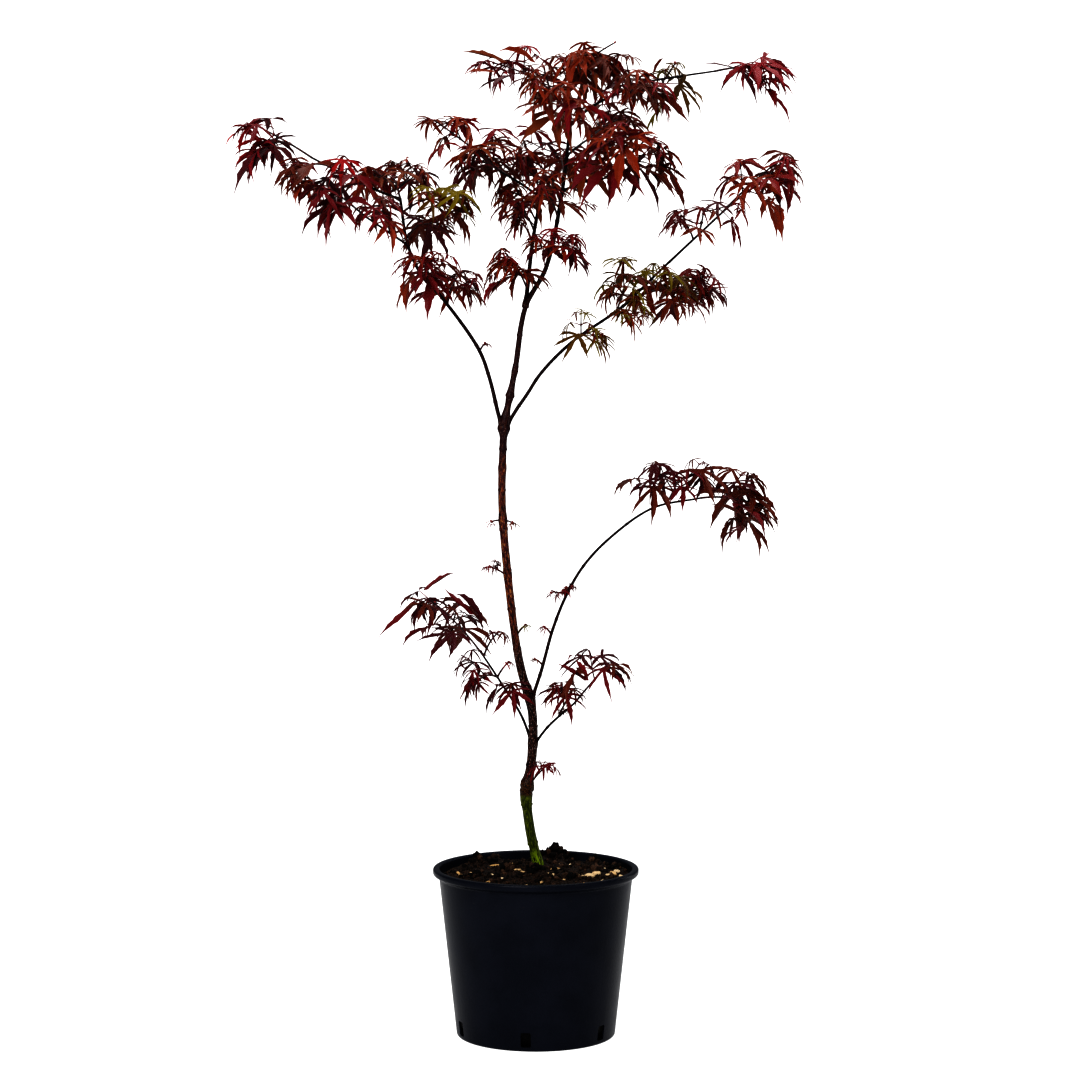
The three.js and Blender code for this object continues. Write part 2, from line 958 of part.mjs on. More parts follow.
// A leaf on its stalk, or nothing where it would leave the mass's space or touch a limb or neighbour
function growLeaf(mass, slot, { node, outward, size }, neighbours, blades) {
  for (let attempt = 0; attempt < massRule.attempts; attempt++) {
    const chance = seeded(1 + 8192 * mass.index + 16 * slot + attempt);
    const between = ([low, high]) => low + (high - low) * chance();
    const spin = between([-0.25, 0.25]) * (1 + 1.8 * attempt); // each new attempt turns further away
    const lift = between(massRule.lift);
    const length = size * between(massRule.length);
    const stalk = length * massRule.stalk * between(massRule.stalkShare) * (1 - 0.12 * attempt);
    const tilt = between(massRule.tilt);
    const roll = between(massRule.roll);
    const droop = mass.hang * between(massRule.droop);
    const way = outward.clone().applyAxisAngle(up, spin).addScaledVector(up, lift);
    if (way.z > 0) way.z *= massRule.riseKept;
    way.normalize();
    const hub = node.clone().addScaledVector(way, stalk);
    const level = vector(way.x, way.y, 0).normalize();
    const normal = up.clone().multiplyScalar(Math.cos(tilt)).addScaledVector(level, Math.sin(tilt));
    normal.applyAxisAngle(level, roll).normalize();
    const forward = level.clone().addScaledVector(normal, -level.dot(normal)).normalize();
    const slim = length < massRule.slimBelow;
    const pairs = length < massRule.fiveBelow ? 2 : 3;
    const form = { node, hub, forward, normal, size: length, droop, pairs, slim };
    const { solid, samples } = makeLeaf(form);
    if (!samples.every((p) => mass.inside(p) > massRule.clearOfSpace)) continue;
    if (!samples.every((p) => clearOfLimbs(p, massRule.clearOfLimb))) continue;
    if (neighbours.some((other) => solid.minGap(other, 1) < gap)) continue;
    const blade = makeLeaf({ ...form, node: mix(hub, node, 0.15) }).solid;
    if (blades.some((other) => blade.minGap(other, 1) < gap)) continue;
    blades.push(blade);
    return solid;
  }
  return null;
}

// The frame of a pair of leaves: the stem's own direction, and the two ways out from it
function pairAt(curve, share, turn) {
  const along = curve.getTangentAt(share);
  const across = along.clone().cross(up).normalize();
  const over = across.clone().cross(along).normalize();
  const out = across.multiplyScalar(Math.cos(turn)).addScaledVector(over, Math.sin(turn));
  const leaning = (sign) => out.clone().multiplyScalar(0.8 * sign).addScaledVector(along, 0.5).normalize();
  return [leaning(1), leaning(-1)];
}

function growMass(mass, neighbours) {
  const pieces = [mass.stemSolid];
  const blades = [];
  let slot = 0;
  const addLeaf = (place) => {
    const leaf = growLeaf(mass, slot++, place, neighbours, blades);
    if (leaf) pieces.push(leaf);
  };
  for (let k = 0; k < mass.nodes; k++) {
    const run = mass.nodes === 1 ? 1 : k / (mass.nodes - 1);
    const share = THREE.MathUtils.lerp(mass.first, mass.last, run);
    const node = mass.stem.getPointAt(share);
    const chance = seeded(77 + 512 * mass.index + k);
    const turn = (k % 2) * 1.1 + (chance() - 0.5) * 0.8;
    const size = mass.leaf * (1.2 - 0.65 * share);
    for (const outward of pairAt(mass.stem, share, turn)) {
      if (k >= mass.twigs) {
        addLeaf({ node, outward, size });
        continue;
      }
      const end = node.clone().addScaledVector(outward, massRule.twig * mass.leaf).addScaledVector(up, 5);
      const twig = new THREE.LineCurve3(node, end);
      const twigSolid = stick(twig, () => massRule.twigGirth, { sides: 3, rings: 1 });
      const blocked = neighbours.some((other) => twigSolid.minGap(other, 1) < gap);
      if (blocked || mass.inside(end) < 1) continue;
      pieces.push(twigSolid);
      for (const way of pairAt(twig, 0.97, turn + 0.6)) {
        addLeaf({ node: end, outward: way, size: 0.85 * size });
      }
      addLeaf({ node: end, outward, size: 0.7 * size });
    }
  }
  if (mass.last === 1) {
    const along = mass.stem.getTangentAt(1);
    addLeaf({ node: mass.stem.getPointAt(1), outward: along, size: 0.42 * mass.leaf });
  }
  let made = wasm.Manifold.union(pieces);
  for (const name of limbSolids.keys()) made = made.subtract(limbs.get(name).solid(gap));
  return mainBody(made.simplify(massRule.fineness));
}

const massSolids = new Map();
for (const mass of masses) {
  const otherStems = stemSolids.filter((stem) => stem !== mass.stemSolid);
  massSolids.set(mass.name, growMass(mass, [...otherStems, ...massSolids.values()]));
}

// The whole plant
const plant = new THREE.Group();
plant.name = 'potted_maple';

function addNode(name, made, color, rough) {
  const { numProp, numVert, vertProperties, triVerts } = made.getMesh();
  const positions = new Float32Array(numVert * 3);
  for (let i = 0; i < numVert; i++) {
    const start = i * numProp;
    positions.set(vertProperties.subarray(start, start + 3), 3 * i);
  }
  const geometry = new THREE.BufferGeometry();
  geometry.setAttribute('position', new THREE.BufferAttribute(positions, 3));
  geometry.setIndex(new THREE.BufferAttribute(triVerts, 1));
  geometry.computeVertexNormals();
  const material = new THREE.MeshStandardMaterial({ color, roughness: rough, metalness: 0 });
  const mesh = new THREE.Mesh(geometry, material);
  mesh.name = name;
  plant.add(mesh);
}

addNode('pot', makePot(), colours.pot, roughness.pot);
addNode('soil', makeSoil(), colours.soil, roughness.soil);
for (const [name, made] of limbSolids) addNode(name, made, colours.bark, roughness.bark);
for (const { name, colour } of masses) addNode(name, massSolids.get(name), colours[colour], roughness.leaf);

export default plant;
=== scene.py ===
# %% [markdown]
# # A young maple in its nursery pot
#
# The plant is a grafted maple of about a metre, with deeply cut, hanging, wine-red leaves on a few slim
# limbs. It stands in a black pot of 220 mm. The solids of the CAD model are the fixed frame: they say
# where every limb, spray and the pot lie. This script dresses them: it grows fine bark, twigs and leaves
# by the same rule that made the solids, and gives each surface its finish.

import json
import math

import bmesh
import bpy
import numpy as np
from mathutils import Matrix, Vector, noise

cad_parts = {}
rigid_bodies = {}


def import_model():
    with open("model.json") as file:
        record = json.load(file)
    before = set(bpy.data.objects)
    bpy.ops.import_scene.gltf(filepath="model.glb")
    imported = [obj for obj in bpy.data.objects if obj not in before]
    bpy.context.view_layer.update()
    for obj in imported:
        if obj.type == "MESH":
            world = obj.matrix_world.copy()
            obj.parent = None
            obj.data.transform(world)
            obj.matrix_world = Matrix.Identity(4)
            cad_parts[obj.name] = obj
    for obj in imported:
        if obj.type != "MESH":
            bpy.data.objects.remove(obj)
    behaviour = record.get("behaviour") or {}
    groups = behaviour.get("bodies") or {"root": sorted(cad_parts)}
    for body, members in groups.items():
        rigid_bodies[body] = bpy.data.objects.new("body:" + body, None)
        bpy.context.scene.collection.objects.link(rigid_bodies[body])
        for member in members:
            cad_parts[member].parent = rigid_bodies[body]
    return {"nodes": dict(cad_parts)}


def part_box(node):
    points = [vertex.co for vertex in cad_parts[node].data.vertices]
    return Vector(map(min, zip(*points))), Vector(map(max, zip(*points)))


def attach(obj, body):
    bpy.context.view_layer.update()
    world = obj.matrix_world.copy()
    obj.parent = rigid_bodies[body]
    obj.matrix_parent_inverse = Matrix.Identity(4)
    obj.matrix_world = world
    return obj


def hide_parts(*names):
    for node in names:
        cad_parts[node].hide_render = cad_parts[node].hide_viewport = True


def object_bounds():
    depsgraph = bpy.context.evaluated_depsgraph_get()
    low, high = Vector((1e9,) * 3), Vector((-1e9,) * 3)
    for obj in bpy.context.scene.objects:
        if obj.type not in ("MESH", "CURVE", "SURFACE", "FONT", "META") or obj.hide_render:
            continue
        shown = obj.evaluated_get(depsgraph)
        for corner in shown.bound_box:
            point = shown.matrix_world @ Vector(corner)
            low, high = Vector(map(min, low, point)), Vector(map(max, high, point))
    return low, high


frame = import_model()
cad_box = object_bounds()
print("CAD nodes:", len(frame["nodes"]), "box:", [tuple(round(n, 3) for n in corner) for corner in cad_box])

# %% [markdown]
# ## The camera
#
# The photo was taken from about 3 m away, a little above the middle of the plant, with a long lens that
# looks down by 3.5 degrees. The ellipses of the pot's rim and foot give that height and angle. A point
# straight above the pot's middle falls a few pixels left of the photo's middle, so the camera stands a
# little to the right.

# %% Place the camera
PHOTO_SIDE = 1080
FOCAL_PIXELS = 2830
FILM_WIDTH = 36
POT_MIDDLE_PIXEL = 535.8
CAMERA_AWAY = 3.0
CAMERA_HEIGHT = 0.714
CAMERA_DOWN = math.radians(3.5)
MM = 0.001

scene = bpy.context.scene
lens = bpy.data.cameras.new("photo_lens")
lens.sensor_width = FILM_WIDTH
lens.lens = FILM_WIDTH * FOCAL_PIXELS / PHOTO_SIDE
camera = bpy.data.objects.new("photo_camera", lens)
camera.location = (
    (PHOTO_SIDE / 2 - POT_MIDDLE_PIXEL) / FOCAL_PIXELS * CAMERA_AWAY,
    -CAMERA_AWAY,
    CAMERA_HEIGHT,
)
camera.rotation_euler = (math.pi / 2 - CAMERA_DOWN, 0, 0)
scene.collection.objects.link(camera)
scene.camera = camera
scene.view_settings.view_transform = "Standard"
scene.view_settings.look = "Very High Contrast"
print("lens:", round(lens.lens, 1), "mm")

# %% [markdown]
# ## Shader arithmetic
#
# A finish is easier to read as a formula than as a tangle of nodes. Signal wraps the output of a node, and
# Python's own operators on it add the Math nodes. Finish holds one material and adds any other node with
# one method. Colours are written as on a colour card, and are turned into the light values that Blender
# works with.


# %% Wrap a shader socket so that Python can calculate with it
class Signal:
    """A value that varies over a surface. Arithmetic on it adds Math nodes."""

    def __init__(self, finish, socket):
        self.finish = finish
        self.socket = socket

    def math(self, operation, *values):
        inputs = dict(enumerate(values))
        return self.finish.node("Math", inputs, {"operation": operation})

    def __add__(self, other):
        return self.math("ADD", self, other)

    def __radd__(self, other):
        return self.math("ADD", other, self)

    def __sub__(self, other):
        return self.math("SUBTRACT", self, other)

    def __rsub__(self, other):
        return self.math("SUBTRACT", other, self)

    def __mul__(self, other):
        return self.math("MULTIPLY", self, other)

    def __rmul__(self, other):
        return self.math("MULTIPLY", other, self)

    def __pow__(self, power):
        return self.math("POWER", self, power)

    def __abs__(self):
        return self.math("ABSOLUTE", self)

    def sine(self):
        return self.math("SINE", self)

    def step(self, low, high):
        """0 below low, 1 above high, and smooth between. low may be the larger one."""
        settings = {"interpolation_type": "SMOOTHSTEP"}
        return self.finish.node("MapRange", {"Value": self, "From Min": low, "From Max": high}, settings)


class Finish:
    """A material with a Principled shader, and one way to add every other node."""

    def __init__(self, name, **constants):
        self.material = bpy.data.materials.new(name)
        self.material.use_nodes = True
        self.tree = self.material.node_tree
        self.shader = self.tree.nodes["Principled BSDF"]
        for socket, value in constants.items():
            self.shader.inputs[socket.replace("_", " ").title().replace("Ior", "IOR")].default_value = value

    def node(self, kind, inputs=None, settings=None, output=0):
        made = self.tree.nodes.new("ShaderNode" + kind)
        for key, value in (settings or {}).items():
            setattr(made, key, value)
        for key, value in (inputs or {}).items():
            self.plug(made.inputs[key], value)
        return Signal(self, made.outputs[output])

    def plug(self, target, value):
        if isinstance(value, Signal):
            self.tree.links.new(value.socket, target)
        else:
            target.default_value = value

    def paint(self, under, over, mask):
        """One colour where the mask is 0, and the other where it is 1."""
        return self.node("Mix", {0: mask, 6: under, 7: over}, {"data_type": "RGBA"}, output=2)

    def place(self):
        """Object coordinates: the place on the plant, in metres."""
        return self.node("TexCoord", output=3)

    def grain(self, name):
        """A named attribute of the mesh, as a vector."""
        return self.node("Attribute", settings={"attribute_name": name}, output=1)

    def amount(self, name):
        """A named attribute of the mesh, as a number."""
        return self.node("Attribute", settings={"attribute_name": name}, output=2)

    def cloud(self, place, scale, detail=3.0, roughness=0.55):
        """Soft noise from about 0 to 1, with so many blobs to a metre."""
        inputs = {"Vector": place, "Scale": scale, "Detail": detail, "Roughness": roughness}
        return self.node("TexNoise", inputs)

    def use(self, colour=None, roughness=None, height=None, depth=0.001, strength=1.0):
        """Link what varies to the shader. height is a relief of that depth, in metres."""
        if colour is not None:
            self.plug(self.shader.inputs["Base Color"], colour)
        if roughness is not None:
            self.plug(self.shader.inputs["Roughness"], roughness)
        if height is not None:
            inputs = {"Height": height, "Distance": depth, "Strength": strength}
            self.plug(self.shader.inputs["Normal"], self.node("Bump", inputs))
        return self.material


def tone(card):
    """A colour such as "5a1621", as on a colour card, as light values."""
    channels = [int(card[i : i + 2], 16) / 255 for i in (0, 2, 4)]
    return (*(c / 12.92 if c <= 0.04045 else ((c + 0.055) / 1.055) ** 2.4 for c in channels), 1)


def grey(value):
    return (value, value, value, 1)


print("a mid grey card as light values:", [round(value, 3) for value in tone("808080")])


# %% [markdown]
# ## Floor and light
#
# The studio is plain: one large soft light high in front and a little to the left, a weaker one on the
# right, a soft one overhead, and a tall strip behind on the right that draws the thin bright line down the
# pot's edge. The camera sees a pale floor that runs out into white paper. To the plant the floor and the
# air are grey, so that black plastic and dark leaves stay dark.

# %% Lay the floor
FLOOR_RADIUS = 14
FADE_START = 0.9
FADE_END = 2.6
FLOOR_SEEN = grey(0.6)
FLOOR_GLOW = grey(0.3)
FLOOR_COLOUR = grey(0.45)
PAPER = grey(1.0)
AIR = (0.16, 0.163, 0.17, 1)

floor_mesh = bpy.data.meshes.new("floor")
bm = bmesh.new()
bmesh.ops.create_circle(bm, cap_ends=True, segments=96, radius=FLOOR_RADIUS)
bm.to_mesh(floor_mesh)
bm.free()
floor = bpy.data.objects.new("floor", floor_mesh)
scene.collection.objects.link(floor)

pale = Finish("pale_floor", roughness=0.8, specular_ior_level=0.1, emission_strength=1.0)
out = pale.node("VectorMath", {0: pale.place()}, {"operation": "LENGTH"}, output=1)
fade = out.step(FADE_START, FADE_END)
seen = pale.node("LightPath", output=0)
glow = pale.paint(FLOOR_SEEN, PAPER, fade)
pale.plug(pale.shader.inputs["Emission Color"], pale.paint(FLOOR_GLOW, glow, seen))
floor.data.materials.append(pale.use(colour=pale.paint(FLOOR_COLOUR, grey(0.0), fade)))
print("floor:", 2 * FLOOR_RADIUS, "m wide")

# %% Fill the air with grey light
world = bpy.data.worlds.new("studio")
scene.world = world
world.use_nodes = True
tree = world.node_tree
background = tree.nodes["Background"]
ray = tree.nodes.new("ShaderNodeLightPath")
paper = tree.nodes.new("ShaderNodeMix")
paper.data_type = "RGBA"
paper.inputs[6].default_value = AIR
paper.inputs[7].default_value = PAPER
tree.links.new(ray.outputs["Is Camera Ray"], paper.inputs[0])
tree.links.new(paper.outputs[2], background.inputs["Color"])
print("air:", AIR[:3])

# %% Hang the lamps
TARGET = Vector((0, 0, 0.6))


def lamp(name, spot, size, watts, tint=(1, 1, 1)):
    """A soft rectangular light that faces the plant."""
    light = bpy.data.lights.new(name, "AREA")
    light.shape = "RECTANGLE"
    light.size, light.size_y = size
    light.energy = watts
    light.color = tint
    made = bpy.data.objects.new(name, light)
    made.location = spot
    made.rotation_euler = (TARGET - Vector(spot)).to_track_quat("-Z", "Y").to_euler()
    scene.collection.objects.link(made)


lamp("key_light", (-1.2, -2.7, 2.1), (1.8, 1.8), 72, (1.0, 0.98, 0.96))
lamp("fill_light", (2.2, -1.8, 1.3), (1.4, 1.8), 10)
lamp("edge_light", (1.9, 1.3, 0.9), (0.2, 1.9), 5)
lamp("top_light", (0.2, 0.5, 2.9), (1.6, 1.6), 34)

# %% [markdown]
# ## Tools for making pieces
#
# Two kinds of tool serve the whole script. roll bends a flat grid into whatever a formula says, such as a
# limb or a disc of soil, and keeps its faces in even rows. Heap collects many small things, such as leaves
# or crumbs, as arrays, and turns them into one joined mesh. Every finished mesh goes to add_piece, which
# links it, lets it ride on the plant's one body and hides the solids that it stands for.


# %% Define how a piece is linked
def add_piece(mesh, finish, stands_for=(), sharp=None):
    """Link a finished mesh as a piece of the object."""
    if sharp is not None:
        mesh.shade_smooth()
        mesh.set_sharp_from_angle(angle=math.radians(sharp))
    mesh.materials.append(finish)
    piece = bpy.data.objects.new(mesh.name, mesh)
    scene.collection.objects.link(piece)
    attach(piece, "root")
    if stands_for:
        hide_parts(*stands_for)
    triangles = sum(len(polygon.vertices) - 2 for polygon in mesh.polygons)
    print(f"{mesh.name}: {triangles} triangles")


# %% Define the rolling of a grid and the joining of small things
SAME_POINT = 1e-6


def roll(bm, shape, across, along, mark=None):
    """Bend a flat grid: shape(u, v) gives the place of the grid's point at u and v, from 0 to 1.

    mark(vert, u, v) may write attributes on the point. Points that come to lie on each other are merged.
    """
    verts = bmesh.ops.create_grid(bm, x_segments=across, y_segments=along, size=0.5)["verts"]
    for vert in verts:
        u, v = vert.co.x + 0.5, vert.co.y + 0.5
        vert.co = shape(u, v)
        if mark:
            mark(vert, u, v)
    bmesh.ops.remove_doubles(bm, verts=verts, dist=SAME_POINT)


class Heap:
    """Many small shapes of one kind, joined into one mesh."""

    def __init__(self):
        self.points = []
        self.faces = []
        self.extras = []
        self.count = 0

    def add(self, points, faces, extra=None):
        """points is an array of places, and faces an array of corner numbers with -1 as padding."""
        faces = np.where(faces < 0, -1, faces + self.count)
        self.points.append(points)
        self.faces.append(faces)
        self.extras.append(np.zeros(len(points)) if extra is None else extra)
        self.count += len(points)

    def mesh(self, name, extra_name=None):
        """The joined mesh. extra_name is the attribute that holds what came with each shape."""
        made = bpy.data.meshes.new(name)
        rows = [row for group in self.faces for row in group.tolist()]
        faces = [[corner for corner in row if corner >= 0] for row in rows]
        made.from_pydata(np.concatenate(self.points).tolist(), [], faces)
        if extra_name:
            extras = np.concatenate(self.extras).astype(np.float32)
            kind, key = ("FLOAT", "value") if extras.ndim == 1 else ("FLOAT_VECTOR", "vector")
            layer = made.attributes.new(extra_name, kind, "POINT")
            layer.data.foreach_set(key, extras.ravel())
        made.shade_smooth()
        return made


print("points of a grid are merged when closer than", SAME_POINT, "m")

# %% [markdown]
# ## The pot
#
# A nursery pot is blown or moulded in one go: a tapering wall with a flat floor, a lip that is rolled out
# and hangs down, and six upright slots in the wall, just above the rounded foot, that let water out. Its
# outline is drawn once and spun round the middle. The slots are cut with a Boolean modifier, because each
# one goes clean through a round wall. The rim's radius and the pot's height come from the solid's own box.

# %% Draw the pot's outline
_, pot_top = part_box("pot")
RIM = pot_top.x
POT_HEIGHT = pot_top.z
FOOT_RADIUS = 85 * MM
WALL_TOP_RADIUS = 104.5 * MM
WALL = 1.6 * MM
POT_FLOOR = 2.2 * MM
LIP_DEPTH = 12 * MM
BEAD_DEPTH = 4.5 * MM
BEAD_ROUND = 3 * MM
CROWN_ROUND = 2.2 * MM
FOOT_ROUND = 3 * MM
INNER_ROUND = 2 * MM
LIP_ROUND_STEPS = 8
CORNER_STEPS = 4


def wall_radius(height):
    """Radius of the wall's outside."""
    return FOOT_RADIUS + (WALL_TOP_RADIUS - FOOT_RADIUS) * height / POT_HEIGHT


def arc(middle, radius, start, end, steps=6):
    """Points on an arc, with angles in degrees."""
    turns = np.radians(np.linspace(start, end, steps))
    return [(middle[0] + radius * math.cos(t), middle[1] + radius * math.sin(t)) for t in turns]


crown = POT_HEIGHT - CROWN_ROUND
bead = POT_HEIGHT - BEAD_DEPTH
lip_foot = POT_HEIGHT - LIP_DEPTH
inner_top = wall_radius(crown) - WALL
foot_middle = (FOOT_RADIUS - FOOT_ROUND, FOOT_ROUND)
inner_foot_middle = (wall_radius(0) - WALL - INNER_ROUND, POT_FLOOR + INNER_ROUND)
outline = [(0, 0)]
outline += arc(foot_middle, FOOT_ROUND, -90, -5)
outline += arc((wall_radius(lip_foot) + BEAD_ROUND, lip_foot), BEAD_ROUND, 180, 120)
outline += arc((RIM - BEAD_ROUND, bead), BEAD_ROUND, -60, 0, LIP_ROUND_STEPS)
outline += arc((RIM - CROWN_ROUND, crown), CROWN_ROUND, 0, 80)
outline += arc((inner_top + CROWN_ROUND, crown), CROWN_ROUND, 100, 180)
outline += arc(inner_foot_middle, INNER_ROUND, 0, -90, CORNER_STEPS)
outline += [(0, POT_FLOOR)]
print("outline of the pot:", len(outline), "points")

# %% Spin the outline
POT_STEPS = 160
bm = bmesh.new()
verts = [bm.verts.new((radius, 0, height)) for radius, height in outline]
edges = [bm.edges.new(pair) for pair in zip(verts, verts[1:])]
bmesh.ops.spin(
    bm,
    geom=verts + edges,
    cent=(0, 0, 0),
    axis=(0, 0, 1),
    angle=2 * math.pi,
    steps=POT_STEPS,
    use_merge=True,
)
bmesh.ops.remove_doubles(bm, verts=bm.verts[:], dist=SAME_POINT)
bmesh.ops.recalc_face_normals(bm, faces=bm.faces[:])
shell_mesh = bpy.data.meshes.new("pot_shell")
bm.to_mesh(shell_mesh)
bm.free()
shell = bpy.data.objects.new("pot_shell", shell_mesh)
scene.collection.objects.link(shell)
print("pot shell:", len(shell_mesh.polygons), "faces")

# %% Cut the slots
SLOT_COUNT = 6
SLOT_SIZE = (10 * MM, 10.5 * MM, 15.5 * MM)
SLOT_MIDDLE = (85 * MM, 0, 12.75 * MM)
SLOT_CORNER = 1.5 * MM
FIRST_SLOT = math.radians(-97)

bm = bmesh.new()
for k in range(SLOT_COUNT):
    turn = Matrix.Rotation(FIRST_SLOT + k * math.tau / SLOT_COUNT, 4, "Z")
    place = turn @ Matrix.Translation(SLOT_MIDDLE) @ Matrix.Diagonal((*SLOT_SIZE, 1))
    bmesh.ops.create_cube(bm, size=1, matrix=place)
level = [e for e in bm.edges if abs(e.verts[0].co.z - e.verts[1].co.z) < SAME_POINT]
radial = [e for e in level if abs(e.verts[0].co.xy.length - e.verts[1].co.xy.length) > SLOT_SIZE[0] / 2]
bmesh.ops.bevel(bm, geom=radial, offset=SLOT_CORNER, segments=3, profile=0.5, affect="EDGES", material=-1)
slot_mesh = bpy.data.meshes.new("slots")
bm.to_mesh(slot_mesh)
bm.free()
slots = bpy.data.objects.new("slots", slot_mesh)
scene.collection.objects.link(slots)

cut = shell.modifiers.new("slots", "BOOLEAN")
cut.operation = "DIFFERENCE"
cut.solver = "EXACT"
cut.object = slots
pot_mesh = bpy.data.meshes.new_from_object(shell.evaluated_get(bpy.context.evaluated_depsgraph_get()))
pot_mesh.name = "nursery_pot"
bpy.data.objects.remove(shell)
bpy.data.objects.remove(slots)
print("pot with its slots:", len(pot_mesh.polygons), "faces")

# %% [markdown]
# The plastic is black with a trace of blue. Up close it is not even: it has the faint orange-peel of a
# moulded skin, duller patches where it has been handled, dried splashes of soil under the lip and round
# the foot, and fine dust. None of that is a picture: clouds of noise give masks, and the masks mix colours.

# %% Finish the pot
plastic = Finish("black_plastic", specular_ior_level=0.1)
spot = plastic.place()
height = plastic.node("SeparateXYZ", {0: spot}, output=2)
patches = plastic.cloud(spot, 26, 4)
peel = plastic.cloud(spot, 420, 2)
specks = plastic.cloud(spot, 310, 5, 0.7).step(0.66, 0.74)
near_foot = height.step(0.05, 0.0)
near_lip = height.step(0.13, 0.165) * height.step(0.172, 0.168)
dust = specks * (0.12 + 0.6 * near_foot + 0.5 * near_lip) * patches.step(0.42, 0.62)
body = plastic.paint(tone("161922"), tone("1b1e28"), patches.step(0.35, 0.7))
body = plastic.paint(body, tone("4a3f36"), dust)
scuffs = plastic.cloud(plastic.node("Mapping", {0: spot, 3: (1, 1, 0.12)}), 160, 3).step(0.6, 0.8)
gloss = 0.22 + 0.2 * patches + 0.2 * dust + 0.12 * scuffs
plastic.use(body, gloss, peel + 0.5 * patches + 2.0 * dust, 0.12 * MM)
add_piece(pot_mesh, plastic.material, ["pot"], sharp=40)

# %% [markdown]
# ## The soil
#
# The potting soil is damp, dark and crumbly. It is heaped round the stem and has sunk a little below the
# rim. One sheet is rolled into a disc whose height is the solid's own rule with clumps added, and its edge
# runs down inside the wall, so that soil shows in the slots too; down there it is painted nearly black, as
# painted shade inside the pot. Loose crumbs lie all over it, clods gather on the clumps, and pale bits of
# bark lie where the photo shows them. They are many small things, so they are joined meshes made from
# arrays.

# %% Shape the surface of the soil
STEM_FOOT = Vector((3, 30, 176)) * MM
SOIL_LEVEL = 170 * MM
MOUND = 7.5 * MM
MOUND_SPREAD = 42 * MM
LUMP = 1.6 * MM
SOIL_GAP = 0.3 * MM
SURFACE_SHARE = 0.86
SOIL_STEPS = (190, 84)
soil_edge = wall_radius(SOIL_LEVEL) - WALL - 2 * SOIL_GAP

# A clump is its place, its rise and its spread, in millimetres.
CLUMPS = [
    ((20, 72), 16, 9), ((33, 74), 9, 8), ((6, 70), 9, 9), ((-64, 66), 11, 9), ((-46, 74), 7, 9),
    ((64, 58), 8, 10), ((-30, 20), 5, 13), ((-2, 4), 3, 8), ((62, 20), 6, 13), ((10, -30), 5, 14),
    ((38, -20), 4, 10), ((-66, -20), 5, 12), ((-40, -50), 4, 12), ((86, 34), 5, 11),
]


def soil_height(x, y):
    """Height of the soil: the solid's rule, with clumps, and crumbs of several sizes."""
    from_stem = math.hypot(x - STEM_FOOT.x, y - STEM_FOOT.y)
    level = SOIL_LEVEL + MOUND * math.exp(-((from_stem / MOUND_SPREAD) ** 2))
    a, b = x / MM, y / MM
    level += LUMP / 2 * (math.sin(a / 8 + 2 * math.sin(b / 19)) + math.sin(b / 7 + 2 * math.sin(a / 23)))
    for (at_x, at_y), rise, spread in CLUMPS:
        level += rise * MM * math.exp(-(math.hypot(a - at_x, b - at_y) / spread) ** 2)
    spot = Vector((a, b, 0))
    level += 2.4 * MM * noise.noise(spot / 11)
    level += 1.3 * MM * noise.noise(spot / 4.5)
    return level + 0.7 * MM * noise.noise(spot / 2)


def soil_place(u, v):
    """The disc's middle is v = 0. Past the surface's share it runs down the wall to the floor's middle."""
    turn = math.tau * u
    if v <= SURFACE_SHARE:
        radius = soil_edge * (v / SURFACE_SHARE) ** 0.8
        x, y = radius * math.cos(turn), radius * math.sin(turn)
        return x, y, soil_height(x, y)
    # The sheet goes down the wall for four fifths of the rest, and then across the floor.
    down = (v - SURFACE_SHARE) / (1 - SURFACE_SHARE)
    bottom = POT_FLOOR + SOIL_GAP
    z = bottom + (SOIL_LEVEL - 3 * MM - bottom) * max(0.0, 1 - 1.25 * down)
    radius = (wall_radius(z) - WALL - SOIL_GAP) * min(1.0, 5 * (1 - down))
    return radius * math.cos(turn), radius * math.sin(turn), z


bm = bmesh.new()
roll(bm, soil_place, *SOIL_STEPS)
bmesh.ops.recalc_face_normals(bm, faces=bm.faces[:])
soil_mesh = bpy.data.meshes.new("potting_soil")
bm.to_mesh(soil_mesh)
bm.free()
print("soil:", len(soil_mesh.polygons), "faces")

# %% Make one rough lump
chance = np.random.default_rng(41)
bm = bmesh.new()
bmesh.ops.create_icosphere(bm, subdivisions=2, radius=1)
ball = np.array([v.co for v in bm.verts])
ball_faces = np.array([[v.index for v in f.verts] for f in bm.faces])
bm.free()


def lump(size, roughness):
    """A ball with a rough, uneven skin, stretched to a size."""
    bumps = 1 + roughness * chance.normal(size=(len(ball), 1)).clip(-1.6, 1.6)
    turn = Matrix.Rotation(chance.uniform(0, math.tau), 3, "Z")
    tilt = Matrix.Rotation(chance.normal(0, 0.3), 3, "X")
    return ball * bumps * size @ np.array(turn @ tilt).T


print("lump:", len(ball_faces), "faces")

